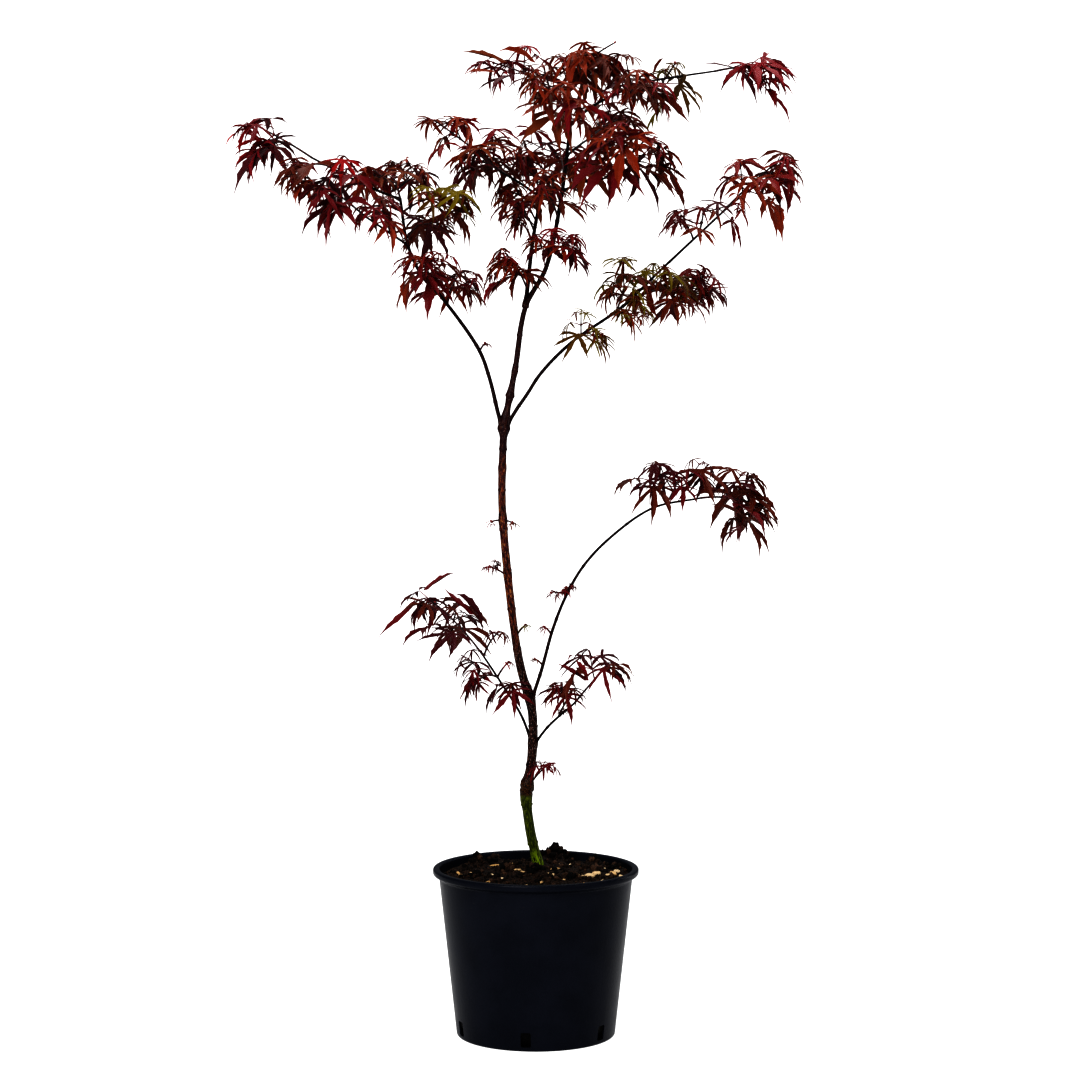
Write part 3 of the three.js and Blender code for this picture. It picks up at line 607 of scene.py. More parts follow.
# %% Scatter the crumbs and clods
CRUMBS = 1500
CRUMB_SIZES = (0.5, 3.1)
CLOD_SIZES = (1.6, 4.2)
CLODS_ON_EACH = 14
SUNK = 0.3
crumbs = Heap()
spots = []
for _ in range(CRUMBS):
    radius = soil_edge * 0.98 * math.sqrt(chance.uniform())
    turn = chance.uniform(0, math.tau)
    size = CRUMB_SIZES[0] + (CRUMB_SIZES[1] - CRUMB_SIZES[0]) * chance.uniform() ** 4
    spots.append((radius * math.cos(turn), radius * math.sin(turn), size * MM))
for (x, y), _, spread in CLUMPS:
    for _ in range(CLODS_ON_EACH):
        size = chance.uniform(*CLOD_SIZES)
        spots.append((*chance.normal((x, y), 0.55 * spread) * MM, size * MM))
for x, y, size in spots:
    if math.hypot(x, y) + size > soil_edge:
        continue
    shape = lump(size * chance.uniform(0.7, 1.2, 3), 0.16)
    rest = soil_height(x, y) + SUNK * size
    crumbs.add(shape + (x, y, rest), ball_faces, np.full(len(ball), chance.uniform()))
crumb_mesh = crumbs.mesh("soil_crumbs", "shade")
print("crumbs and clods:", len(crumbs.points))

# %% Lay the pale bits of bark
# A bit is its place, its length and its width, in millimetres.
BITS = [
    (16, 104, 8, 4), (-42, 47, 12, 3.5), (-31, 56, 6, 3), (-34, 92, 6, 3), (-21, 10, 9, 2.2),
    (-37, -28, 5, 2.5), (-69, -18, 6, 3.5), (15, -28, 10, 5), (21, 12, 8, 3), (27, 52, 5, 3),
    (66, 39, 11, 5), (65, -2, 8, 6), (51, -9, 7, 3.5), (58, -10, 9, 5), (83, 10, 9, 6), (91, 2, 4, 3),
    (8, 78, 4, 2.5), (-60, 76, 4, 3), (72, -33, 5, 3), (-84, 22, 6, 3), (-10, -70, 8, 4),
    (34, -62, 6, 3), (-50, -55, 7, 3.5), (-29, 62, 7, 3), (-22, 50, 5, 2), (-14, 2, 5, 2),
    (44, -14, 5, 4), (56, 34, 5, 3), (72, 34, 6, 3), (87, 16, 6, 4), (78, 2, 5, 3), (-47, 2, 4, 3),
    (30, -36, 5, 3), (38, 62, 4, 2), (-80, -6, 5, 3), (6, -50, 6, 3), (52, -52, 5, 3),
    (-24, -72, 6, 3), (-64, 30, 4, 2),
]
bits = Heap()
for x, y, length, width in BITS:
    shape = lump(np.array([1.4 * length, 1.15 * width, 0.9 * width]) * MM / 2, 0.13)
    rest = soil_height(x * MM, y * MM) + SUNK * width * MM
    bits.add(shape + (x * MM, y * MM, rest), ball_faces, np.full(len(ball), chance.uniform()))
bit_mesh = bits.mesh("bark_bits", "shade")
print("bits of bark:", len(bits.points))

# %% Finish the soil
earth = Finish("damp_soil", specular_ior_level=0.25)
spot = earth.place()
fine = earth.cloud(spot, 700, 6, 0.7)
coarse = earth.cloud(spot, 120, 4)
ground = earth.paint(tone("0a0808"), tone("4c382c"), fine.step(0.42, 0.68))
ground = earth.paint(ground, tone("15100d"), coarse.step(0.5, 0.7))
# Below 130 mm the sheet runs down inside the pot's wall. There the soil is painted nearly black, as painted
# shade inside the pot.
depth = earth.node("SeparateXYZ", {0: spot}, output=2)
ground = earth.paint(ground, tone("060505"), depth.step(0.13, 0.1))
earth.use(ground, 0.95 - 0.35 * coarse.step(0.45, 0.6), fine + 0.6 * coarse, 1.2 * MM)
add_piece(soil_mesh, earth.material, ["soil"], sharp=180)

# %% Finish the crumbs
crumbly = Finish("soil_crumb", specular_ior_level=0.2)
shade = crumbly.amount("shade")
dirt = crumbly.paint(tone("090807"), tone("604839"), shade**2.6)
grit = crumbly.cloud(crumbly.place(), 1500, 3)
dirt = crumbly.paint(dirt, tone("0c0806"), grit.step(0.45, 0.6))
crumbly.use(dirt, 0.92 - 0.2 * grit, grit, 0.4 * MM)
add_piece(crumb_mesh, crumbly.material)

# %% Finish the bits of bark
pale_bark = Finish("pale_bark_bits", specular_ior_level=0.25)
shade = pale_bark.amount("shade")
grain = pale_bark.cloud(pale_bark.node("Mapping", {0: pale_bark.place(), 3: (0.3, 1, 1)}), 900, 4)
fresh = pale_bark.paint(tone("c9a268"), tone("ecd8b4"), shade)
pale_bark.use(pale_bark.paint(fresh, tone("8a6238"), grain.step(0.54, 0.7)), 0.8, grain, 0.5 * MM)
add_piece(bit_mesh, pale_bark.material)

# %% [markdown]
# ## Smooth lines
#
# Every limb follows a smooth curve through a few guide points, and every spray has a stem that bends once.
# Both are the curves of the solids, written again here. A Line is read by the share of its length, so that
# steps along it are even.


# %% Define the curves
class Line:
    """A smooth curve, read by the share of its length."""

    def __init__(self, sample, steps=400):
        self.sample = sample
        self.turns = np.linspace(0, 1, steps + 1)
        pieces = np.linalg.norm(np.diff(sample(self.turns), axis=0), axis=1)
        self.lengths = np.concatenate([[0], np.cumsum(pieces)])
        self.length = self.lengths[-1]

    def at(self, share):
        """The place there."""
        turns = np.interp(np.asarray(share) * self.length, self.lengths, self.turns)
        return self.sample(np.atleast_1d(turns)).reshape(*np.shape(share), 3)

    def way(self, share):
        """The direction there."""
        near = np.clip(np.asarray(share)[..., None] + (-1e-4, 1e-4), 0, 1)
        ends = self.at(near)
        return unit(ends[..., 1, :] - ends[..., 0, :])


def unit(vectors):
    return vectors / np.linalg.norm(vectors, axis=-1, keepdims=True)


def through(via):
    """A centripetal Catmull-Rom curve through the guide points."""
    ends = np.vstack([2 * via[0] - via[1], via, 2 * via[-1] - via[-2]])
    gaps = np.linalg.norm(np.diff(ends, axis=0), axis=1)[:, None] ** 0.5

    def sample(turns):
        place = np.clip(turns, 0, 1) * (len(via) - 1)
        i = np.minimum(place.astype(int), len(via) - 2)
        w = (place - i)[:, None]
        p0, p1, p2, p3 = (ends[i + k] for k in range(4))
        d0, d1, d2 = (gaps[i + k] for k in range(3))
        start = d1 * ((p1 - p0) / d0 - (p2 - p0) / (d0 + d1) + (p2 - p1) / d1)
        stop = d1 * ((p2 - p1) / d1 - (p3 - p1) / (d1 + d2) + (p3 - p2) / d2)
        square = -3 * p1 + 3 * p2 - 2 * start - stop
        return p1 + start * w + square * w**2 + (2 * p1 - 2 * p2 + start + stop) * w**3

    return Line(sample)


def bent(foot, bend, tip):
    """A quadratic Bezier curve: it leaves the foot towards the bend, and arrives from it."""

    def sample(turns):
        w = turns[:, None]
        return (1 - w) ** 2 * foot + 2 * w * (1 - w) * bend + w**2 * tip

    return Line(sample, 60)


UP = np.array([0.0, 0.0, 1.0])
test_line = bent(UP * 0, UP, UP * 2)
print("a straight line of length 2 is half way at", test_line.at(0.5))

# %% [markdown]
# ## The limbs
#
# The plan of the limbs repeats the CAD model's: for each one its parent, its radius at foot and tip, and
# the points that it passes, in millimetres. The first point is moved to the nearest point of the parent's
# middle line, as it is there. The swellings of the trunk and the leader are part of the plan.

# %% Plan the limbs
LIMB_PLANS = {
    "trunk": (
        None,
        (5.4, 3.9),
        [
            (3, 30, 176), (-5, 29.5, 209), (-9.3, 28, 238), (-10.2, 27, 258), (-5.6, 25.5, 285),
            (-3, 24, 315), (-5, 22, 352), (-14.5, 20.5, 385), (-20.5, 19, 415), (-30, 16, 492),
            (-36, 13, 572), (-34, 10, 652),
        ],
    ),
    "leader": (
        "trunk",
        (3.4, 1.6),
        [(-34, 10, 652), (-22, 8, 711), (-11, 6, 777), (11, -6, 819), (28, -20, 899), (36, -15, 967)],
    ),
    "leader_left": ("leader", (2.5, 1.8), [(-11, 6, 777), (-3, 20, 849), (5, 28, 894)]),
    "bough_left": (
        "trunk",
        (2.3, 1.5),
        [
            (-34, 10, 643), (-39.5, 7, 663), (-49, 2, 702), (-60, -6, 732), (-98, -26, 786),
            (-118, -34, 808), (-133, -40, 840), (-141, -36, 888),
        ],
    ),
    "bough_right": (
        "trunk",
        (2.1, 1.2),
        [
            (-34, 10, 643), (-21, 13, 668), (-10, 15, 684), (6, 18, 708), (38, 26, 740), (92, 36, 778),
            (132, 26, 816), (196, 0, 876),
        ],
    ),
    "far_left": ("bough_left", (1.5, 1.1), [(-141, -36, 888), (-176, -16, 903), (-237, 16, 935)]),
    "left_outer": ("bough_left", (1.3, 1.1), [(-133, -40, 840), (-152, -62, 853), (-175, -90, 868)]),
    "upper_left": ("leader_left", (1.5, 1.1), [(5, 28, 894), (-17, -10, 907), (-37, -52, 916)]),
    "centre_front": ("leader", (1.4, 1.1), [(28, -20, 899), (49, -48, 905), (71, -82, 907)]),
    "centre_back": ("leader", (1.4, 1.1), [(33, -20, 935), (45, 25, 948), (58, 70, 960)]),
    "top_right": (
        "leader",
        (1.5, 1.0),
        [(36, -15, 967), (57, 0, 986), (113, 35, 1015), (157, 55, 1025), (192, 65, 1031)],
    ),
    "top_left": ("leader", (1.4, 1.1), [(36, -18, 955), (28, 0, 989), (15, 22, 1007)]),
    "right_lower": ("bough_right", (1.3, 1.1), [(92, 36, 778), (107, 56, 788), (124, 80, 795)]),
    "low_right": (
        "trunk",
        (2.0, 1.1),
        [
            (-2, 22, 357), (6, 16, 390), (18, 10, 434), (31, 4, 468), (50, 0, 502), (79, 0, 533),
            (124, 6, 564), (176, 24, 574),
        ],
    ),
    "low_left": ("trunk", (1.6, 1.1), [(-2, 24, 306), (-15, 30, 338), (-41, 40, 379), (-57, 42, 403)]),
    "low_front": ("trunk", (1.5, 1.1), [(-2, 24, 305), (13, 8, 330), (41, -22, 359)]),
}

# A swelling is its height, how much it adds to the radius, and its spread.
KNUCKLES = {
    "trunk": [
        (176, 0.7, 12), (250, 1.3, 9), (264, 2.3, 8), (311, 0.6, 7), (361, 1.3, 9), (430, -0.4, 30),
        (492, 0.5, 5), (551, 0.8, 6), (606, 0.6, 5), (649, 3.1, 6),
    ],
    "leader": [(684, 1.3, 7), (710, 0.7, 4)],
}
CHECK_POINTS = 80
print("limbs planned:", len(LIMB_PLANS))


# %% Grow the limbs' middle lines
class Limb:
    """A tapering limb along its line."""

    def __init__(self, name, parent, girths, via):
        self.name = name
        self.parent = parent
        self.girths = np.array(girths) * MM
        via = np.array(via, float) * MM
        if parent:
            via[0] = parent.nearest(via[0])[0]
        self.line = through(via)
        self.spots = self.line.at(np.linspace(0, 1, CHECK_POINTS + 1))
        self.spot_girths = self.girth(np.linspace(0, 1, CHECK_POINTS + 1))

    def girth(self, share):
        """The radius there, with the limb's swellings."""
        plain = self.girths[0] + (self.girths[1] - self.girths[0]) * share
        height = self.line.at(share)[..., 2] / MM
        for at, rise, spread in KNUCKLES.get(self.name, []):
            plain = plain + rise * MM * np.exp(-(((height - at) / spread) ** 2))
        return plain

    def nearest(self, place):
        """The nearest spot of the middle line, and its share of the length."""
        i = int(np.argmin(np.linalg.norm(self.spots - place, axis=1)))
        return self.spots[i], i / CHECK_POINTS


limbs = {}
for name, (parent, girths, via) in LIMB_PLANS.items():
    limbs[name] = Limb(name, limbs.get(parent), girths, via)
all_spots = np.vstack([limb.spots for limb in limbs.values()])
all_girths = np.concatenate([limb.spot_girths for limb in limbs.values()])
print("limbs:", {name: round(limb.line.length, 3) for name, limb in limbs.items()})

# %% [markdown]
# ## Bark
#
# Maple bark of this age is smooth with fine lengthwise cracks. Every few centimetres a ring of two old leaf
# scars with a pair of buds goes round it, each pair a quarter turn from the last. Where a limb leaves its
# parent it has a collar. At the graft the purple maple was joined to a green rootstock: there the stem is
# knobbly. A grid is rolled into a tube round each line, and the relief is part of its formula. Two
# attributes go with it: grain, along which noise makes streaks, and girth, by which young wood is darker.

# %% Define the relief of bark
RING_STEP = 1.6 * MM
BUD_STEP = 43 * MM
FIRST_RING = 0.6 * BUD_STEP
LAST_RING = 4 * MM
CLOSER_ON_BOUGHS = 0.75
NEAR_A_RING = 6 * MM
COLLAR = 0.6
COLLAR_SPREAD = 2.6
RIDGES = 0.055
FEWEST_SIDES = 10
SIDES_PER_MM = 5
GRAIN_STRETCH = 0.09
GRAIN_TURN = 2.4
GRAIN_APART = 37
GRAFT = 261
CALLUS_SPREAD = 7
CALLUS_RELIEF = 1.9 * MM


def carried_frames(centres):
    """Two directions across the line at each centre, carried along without twisting."""
    ways = unit(np.gradient(centres, axis=0))
    side = unit(np.cross(ways[0], (0.3, 1.0, 0.1)))
    sides = []
    for way in ways:
        side = unit(side - way * (side @ way))
        sides.append(side)
    sides = np.array(sides)
    return sides, np.cross(ways, sides)


def hump(off, spread):
    """1 at off = 0, falling to nothing past the spread."""
    return math.exp(-((off / spread) ** 2))


def knobs(height, turn):
    """The rough callus at the graft."""
    spot = Vector((2.2 * math.cos(turn), 2.2 * math.sin(turn), height / MM / 3.5))
    return hump(height / MM - GRAFT, CALLUS_SPREAD) * CALLUS_RELIEF * noise.noise(spot)


def ring_swell(off, radius, facing):
    """A ring of leaf scars: a ridge with a groove above it, and a bud on the two sides that it faces."""
    ridge = 0.13 * radius * hump(off, 1.0 * MM)
    groove = 0.05 * radius * hump(off - 1.9 * MM, 0.8 * MM)
    return ridge - groove + 0.45 * MM * facing**12 * hump(off - 1.4 * MM, 1.5 * MM)


print("callus at", GRAFT, "mm, rings", round(BUD_STEP / MM), "mm apart")


# %% Roll the bark of every limb
def roll_bark(bm, limb, first_turn):
    """One limb as a closed tube, with its relief."""
    grain_layer = bm.verts.layers.float_vector["grain"]
    girth_layer = bm.verts.layers.float["girth"]
    length = limb.line.length
    rings = math.ceil(length / RING_STEP)
    shares = np.linspace(0, 1, rings + 1)
    centres = limb.line.at(shares)
    sides, overs = carried_frames(centres)
    girths = limb.girth(shares)
    hidden = limb.parent.girth(limb.parent.nearest(centres[0])[1]) if limb.parent else 0
    along = shares * length - hidden
    if limb.parent:
        girths = girths * (1 + COLLAR * np.exp(-((np.maximum(along, 0) / (COLLAR_SPREAD * girths)) ** 2)))
    step = BUD_STEP * (CLOSER_ON_BOUGHS if limb.parent else 1)
    bud_rings = np.arange(FIRST_RING, length - hidden - LAST_RING, step)
    across = max(FEWEST_SIDES, round(limb.girths[0] / MM * SIDES_PER_MM))

    def grain_at(u, i):
        turn = math.tau * u
        along_grain = along[i] / MM * GRAIN_STRETCH + GRAIN_APART * first_turn
        return GRAIN_TURN * math.cos(turn), GRAIN_TURN * math.sin(turn), along_grain

    def row_at(v):
        """The rows are the rings, with one more at each end that closes the tube in a point."""
        return round(v * (rings + 2)) - 1

    def shape(u, v):
        row = row_at(v)
        i = min(max(row, 0), rings)
        turn = math.tau * u
        radius = girths[i]
        grain = Vector(grain_at(u, i))
        swell = RIDGES * (noise.noise(grain) + 0.5 * noise.noise(2.3 * grain)) * radius
        for k, at in enumerate(bud_rings):
            off = along[i] - at
            if abs(off) <= NEAR_A_RING:
                swell += ring_swell(off, radius, math.cos(turn - first_turn - k * math.pi / 2))
        if not limb.parent:
            swell += knobs(centres[i][2], turn)
        if row in (-1, rings + 1):
            radius = swell = 0
        spot = centres[i] + (radius + swell) * (math.cos(turn) * sides[i] + math.sin(turn) * overs[i])
        if not limb.parent and i == 0:
            spot[2] = centres[0][2]
        return spot

    def mark(vert, u, v):
        i = min(max(row_at(v), 0), rings)
        vert[grain_layer] = grain_at(u, i)
        vert[girth_layer] = girths[i] / MM

    roll(bm, shape, across, rings + 2, mark)


def bark_mesh(name, chosen):
    """The joined bark of some limbs, with its two attributes."""
    bm = bmesh.new()
    bm.verts.layers.float_vector.new("grain")
    bm.verts.layers.float.new("girth")
    for number, limb in enumerate(chosen):
        roll_bark(bm, limb, 1.3 * number + 0.4)
    bmesh.ops.recalc_face_normals(bm, faces=bm.faces[:])
    made = bpy.data.meshes.new(name)
    bm.to_mesh(made)
    bm.free()
    return made


trunk_mesh = bark_mesh("trunk_bark", [limbs["trunk"]])
bough_mesh = bark_mesh("bough_bark", [limb for name, limb in limbs.items() if name != "trunk"])
print("bark:", len(trunk_mesh.polygons), "faces on the trunk,", len(bough_mesh.polygons), "on the boughs")

# %% [markdown]
# The trunk is olive green below the graft and maroon-brown above it, with ochre streaks along the grain,
# short pale dashes and small pale pores; the streaks and dashes are painted highlight too. It is darker
# near the graft and again below the fork at its top, and the boughs darken to blackish maroon as they thin.
# Height gives the green and the dark stretches, girth the age, and noise on the grain the streaks and
# dashes.

# %% Finish the bark
bark = Finish("young_maple_bark", specular_ior_level=0.17)
spot = bark.place()
height = bark.node("SeparateXYZ", {0: spot}, output=2)
grain = bark.grain("grain")
age = bark.amount("girth").step(1.3, 3.6)
streaks = bark.cloud(grain, 1.7, 4, 0.65)
fine = bark.cloud(spot, 900, 4, 0.6)
pores = bark.cloud(spot, 620, 2).step(0.66, 0.74)
wobble = 0.006 * (streaks - 0.5)
rootstock = (height + wobble).step(0.256, 0.251)
callus = (height + wobble).step(0.25, 0.254) * height.step(0.274, 0.266)
# Pale dashes along the grain: lenticels, and painted highlight on the trunk as well.
pale_dashes_and_highlight = bark.cloud(bark.node("Mapping", {0: grain, 3: (0.9, 0.9, 2.0)}), 2.4, 1).step(0.62, 0.68)
low = height.step(0.43, 0.4)
old = bark.paint(tone("24090b"), tone("6b3226"), streaks.step(0.46, 0.56))
# Ochre streaks along the grain: bark streaks, and painted highlight along the trunk as well.
old = bark.paint(old, tone("b0793a"), streaks.step(0.59, 0.64))
old = bark.paint(old, tone("0a0404"), streaks.step(0.44, 0.38))
old = bark.paint(old, tone("1d0b0b"), fine.step(0.5, 0.7))
old = bark.paint(old, tone("210a11"), 0.85 * height.step(0.6, 0.63))
young = bark.paint(tone("0a0405"), tone("220c0d"), streaks.step(0.45, 0.7))
green = bark.paint(tone("262e06"), tone("5f6b16"), streaks.step(0.4, 0.66))
green = bark.paint(green, tone("12140a"), fine.step(0.5, 0.64))
colour = bark.paint(young, old, age)
colour = bark.paint(colour, tone("0d0405"), 0.75 * low * age)
# The pale dashes, lenticels with painted highlight, are stronger low on the trunk.
colour = bark.paint(colour, tone("b3938a"), pale_dashes_and_highlight * (0.2 + 0.45 * low) * age)
scar = bark.paint(tone("150b07"), tone("5b3a1e"), fine.step(0.48, 0.6))
colour = bark.paint(colour, scar, callus)
green = bark.paint(green, tone("7d9418"), height.step(0.2, 0.182) * streaks.step(0.45, 0.55))
colour = bark.paint(colour, green, rootstock)
colour = bark.paint(colour, tone("8d6a4a"), 0.4 * pores * age)
bark.use(colour, 0.55 + 0.25 * fine - 0.25 * age, streaks + 0.6 * fine + 0.5 * pores, 0.35 * MM)
add_piece(trunk_mesh, bark.material, ["trunk"], sharp=70)
add_piece(bough_mesh, bark.material, [name for name in limbs if name != "trunk"], sharp=70)

# %% [markdown]
# ## The plan of the sprays
#
# Each mass of foliage of the CAD model is one spray: a stem that leaves its limb at the limb's tip, or near
# the place given, and bends once on its way to its own tip. The plan gives, in millimetres, the tip, the
# length of the largest leaf and the number of leaf pairs, and then how the leaves hang, their family of
# colours and the number of finer shoots that only this script adds. first and last are the shares of the
# stem between which the pairs stand, and twigs is the number of pairs that stand on twigs of their own.
# The order of the list matters, because a spray's number seeds its chance.

# %% Plan the sprays
SPRAY_DEFAULTS = {
    "near": None,
    "twigs": 0,
    "first": 0.4,
    "last": 1,
    "hang": 1,
    "tint": "burgundy",
    "shoots": 1,
}


def plan(name, limb, tip, leaf, nodes, **more):
    return {**SPRAY_DEFAULTS, "name": name, "limb": limb, "tip": tip, "leaf": leaf, "nodes": nodes, **more}


SPRAY_PLANS = [
    plan("far_left_spray", "far_left", (-293, 4, 967), 64, 3, hang=0.85, tint="crimson"),
    plan("left_mid_spray", "far_left", (-246, -40, 918), 62, 2, near=(-222, 8, 927), shoots=2),
    plan("left_top_spray", "far_left", (-178, 30, 916), 50, 2, near=(-172, -18, 902), shoots=2),
    plan("left_high_spray", "bough_left", (-150, -14, 914), 54, 2, twigs=1, tint="wine", shoots=3),
    plan("left_low_spray", "left_outer", (-208, -106, 894), 60, 3, tint="crimson"),
    plan("left_under_spray", "left_outer", (-158, -90, 884), 54, 2, near=(-150, -60, 852), shoots=2),
    plan("inner_left_low", "bough_left", (-120, -74, 826), 52, 3, near=(-104, -29, 792), shoots=2),
    plan("inner_left_back", "bough_left", (-80, 22, 814), 48, 3, near=(-93, -25, 781), shoots=2),
    plan("left_centre_spray", "bough_left", (-82, -72, 892), 58, 3, near=(-139, -38, 873),
         tint="olive", shoots=2),
    plan("left_back_spray", "bough_left", (-104, 24, 872), 50, 2, near=(-134, -40, 846), shoots=2),
    plan("upper_left_spray", "upper_left", (-102, -80, 965), 46, 3, tint="bronze"),
    plan("upper_left_inner", "upper_left", (-58, 6, 930), 58, 3, near=(-30, -38, 913),
         tint="wine", shoots=3),
    plan("leader_spray", "leader_left", (-12, 74, 928), 54, 2, shoots=3),
    plan("top_left_spray", "top_left", (-44, 50, 1038), 54, 3, hang=0.6, tint="crimson"),
    plan("top_crest", "top_left", (82, -5, 1053), 58, 3, near=(20, 15, 1001), last=0.62, hang=0.9,
         tint="bronze", shoots=4),
    plan("top_front_spray", "leader", (34, -98, 1000), 66, 3, near=(34, -17, 950), tint="bronze",
         shoots=3),
    plan("top_inner_spray", "top_right", (98, -40, 1006), 52, 3, near=(98, 27, 1007), shoots=3),
    plan("top_back_spray", "top_right", (136, 95, 1006), 50, 2, near=(135, 45, 1020), tint="olive"),
    plan("far_right_spray", "top_right", (246, 70, 1037), 62, 3, hang=0.85, tint="crimson"),
    plan("front_spray", "centre_front", (108, -130, 940), 66, 4, shoots=3),
    plan("back_spray", "centre_back", (95, 138, 988), 60, 3, shoots=2),
    plan("back_left_spray", "leader", (22, 128, 946), 58, 3, near=(28, -20, 910), shoots=2),
    plan("leader_low_left", "leader_left", (-30, -28, 831), 50, 2, near=(-10, 10, 796),
         tint="bronze", shoots=2),
    plan("leader_low_right", "leader", (20, -58, 850), 48, 2, near=(13, -10, 831), tint="wine",
         shoots=2),
    plan("leader_mid_left", "leader_left", (-20, -18, 886), 47, 1, near=(-1, 22, 857), shoots=2),
    plan("right_tip_spray", "bough_right", (258, -18, 919), 60, 4, first=0.2, hang=1.4,
         tint="burgundy", shoots=2),
    plan("right_mid_spray", "bough_right", (175, -36, 878), 60, 1, near=(172, 11, 857), shoots=2),
    plan("right_low_inner", "bough_right", (94, -4, 798), 48, 3, near=(86, 35, 775), tint="olive",
         shoots=3),
    plan("right_low_spray", "right_lower", (176, 95, 799), 58, 3, tint="wine", shoots=3),
    plan("right_low_back", "right_lower", (150, 32, 804), 48, 2, near=(116, 68, 792),
         tint="olive", shoots=3),
    plan("right_low_front", "bough_right", (100, -25, 768), 32, 3, near=(76, 34, 769),
         tint="olive", shoots=2),
    plan("right_small_shoot", "bough_right", (63, -2, 752), 34, 2, near=(38, 27, 744),
         tint="olive", shoots=2),
    # The low sprays take the dark family: darker leaves, and painted shade low on the plant as well.
    plan("low_right_spray", "low_right", (234, 32, 568), 66, 3, hang=1.1, tint="dark", shoots=2),
    plan("low_right_inner", "low_right", (150, -38, 598), 54, 2, near=(140, 12, 567), twigs=1,
         tint="dark", shoots=2),
    plan("low_left_spray", "low_left", (-109, 56, 458), 58, 3, tint="dark", shoots=2),
    plan("low_left_lower", "low_left", (-59, 2, 382), 44, 2, near=(-39, 40, 382), tint="dark"),
    plan("low_left_inner", "low_left", (-25, 8, 369), 92, 0, near=(-20, 32, 350), hang=1.3,
         tint="dark", shoots=0),
    plan("low_front_spray", "low_front", (72, -42, 398), 68, 1, hang=1.1, tint="dark"),
    plan("graft_shoot", "trunk", (12, 10, 288), 33, 1, near=(-10, 26, 259), hang=0.8, tint="crimson"),
    plan("trunk_tuft", "trunk", (-48, 10, 501), 21, 1, near=(-31, 16, 492), tint="crimson", shoots=1),
    plan("low_right_tuft", "low_right", (29, -6, 476), 21, 1, near=(31, 4, 468), tint="crimson",
         shoots=1),
    plan("low_front_inner", "low_front", (38, -12, 371), 54, 1, near=(24, -4, 342), tint="dark"),
]
print("masses of foliage:", len(SPRAY_PLANS))

# %% [markdown]
# The photo also shows small shoots and tufts that are too slight to be solids. They are planned in the same
# way, and grow after the others.

# %% Plan the small shoots
SHOOT_PLANS = [
    plan("shoot_leader_left", "leader_left", (-28, -6, 898), 44, 2, near=(2, 24, 882), tint="bronze"),
    plan("shoot_leader_front", "leader", (8, -62, 900), 46, 2, near=(22, -15, 870), tint="wine"),
    plan("shoot_centre", "centre_front", (62, -58, 922), 46, 2, near=(45, -42, 904), tint="bronze"),
    plan("shoot_centre_low", "centre_front", (52, -42, 886), 30, 1, near=(38, -32, 902),
         tint="wine", shoots=0),
    plan("shoot_top", "top_left", (8, -10, 1028), 36, 1, near=(15, 22, 1007), tint="bronze"),
    plan("shoot_low_front_back", "low_front", (30, 12, 346), 17, 1, near=(24, -4, 342)),
    plan("shoot_low_left", "low_left", (-30, 32, 396), 19, 1, near=(-39, 40, 382), tint="crimson",
         shoots=0),
    plan("shoot_low_left_mid", "low_left", (-40, 10, 431), 42, 1, near=(-55, 42, 402),
         tint="dark", shoots=0),
    plan("shoot_low_right_foot", "low_right", (0, 10, 402), 17, 1, near=(8, 15, 396),
         tint="bronze", shoots=0),
    plan("shoot_low_right", "low_right", (10, 4, 437), 19, 1, near=(16, 10, 427), tint="crimson",
         shoots=0),
    plan("shoot_trunk_right", "trunk", (-12, 12, 438), 19, 1, near=(-22, 18, 426), tint="olive",
         shoots=0),
    plan("shoot_trunk_high_left", "trunk", (-46, 8, 550), 17, 1, near=(-36, 13, 551),
         tint="crimson", shoots=0),
    plan("shoot_trunk_high_right", "trunk", (-26, 8, 549), 17, 1, near=(-36, 13, 551),
         tint="bronze", shoots=0),
    plan("shoot_tuft_right", "low_right", (38, 0, 480), 16, 1, near=(29, 4, 468), tint="crimson"),
    plan("shoot_tuft_back", "low_right", (32, 12, 478), 14, 1, near=(29, 4, 468), tint="bronze"),
    plan("shoot_right_tip", "bough_right", (258, -22, 932), 28, 1, tint="crimson", shoots=0),
    plan("shoot_bough_left", "bough_left", (-54, -12, 738), 17, 1, near=(-58, -6, 730),
         tint="crimson", shoots=0),
    plan("shoot_bud_right", "bough_right", (160, 4, 862), 19, 1, near=(166, 12, 852), tint="lime",
         shoots=0),
    plan("shoot_low_left_inner", "low_left", (-26, 14, 374), 58, 1, near=(-20, 32, 350),
         tint="dark", shoots=0),
    plan("shoot_top_right", "top_right", (148, 38, 1036), 26, 1, near=(140, 47, 1021),
         tint="lime", shoots=0),
]
print("small shoots:", len(SHOOT_PLANS))

# %% [markdown]
# A spray's chance is the same run of numbers as in the CAD model. So each leaf here stands where the solid
# has one, at the same tilt and of the same length. A spray keeps to its own space: the plane between two
# sprays lies where their two round middles balance.


# %% Lay out the sprays
def seeded(seed):
    """Repeatable chance, as numbers from 0 to 1."""
    whole = 0xFFFFFFFF
    state = (seed * 2654435761) & whole
    while True:
        state = (state + 0x6D2B79F5) & whole
        t = ((state ^ (state >> 15)) * (1 | state)) & whole
        t = (t + ((t ^ (t >> 7)) * (61 | t) & whole)) & whole ^ t
        yield ((t ^ (t >> 14)) & whole) / 4294967296


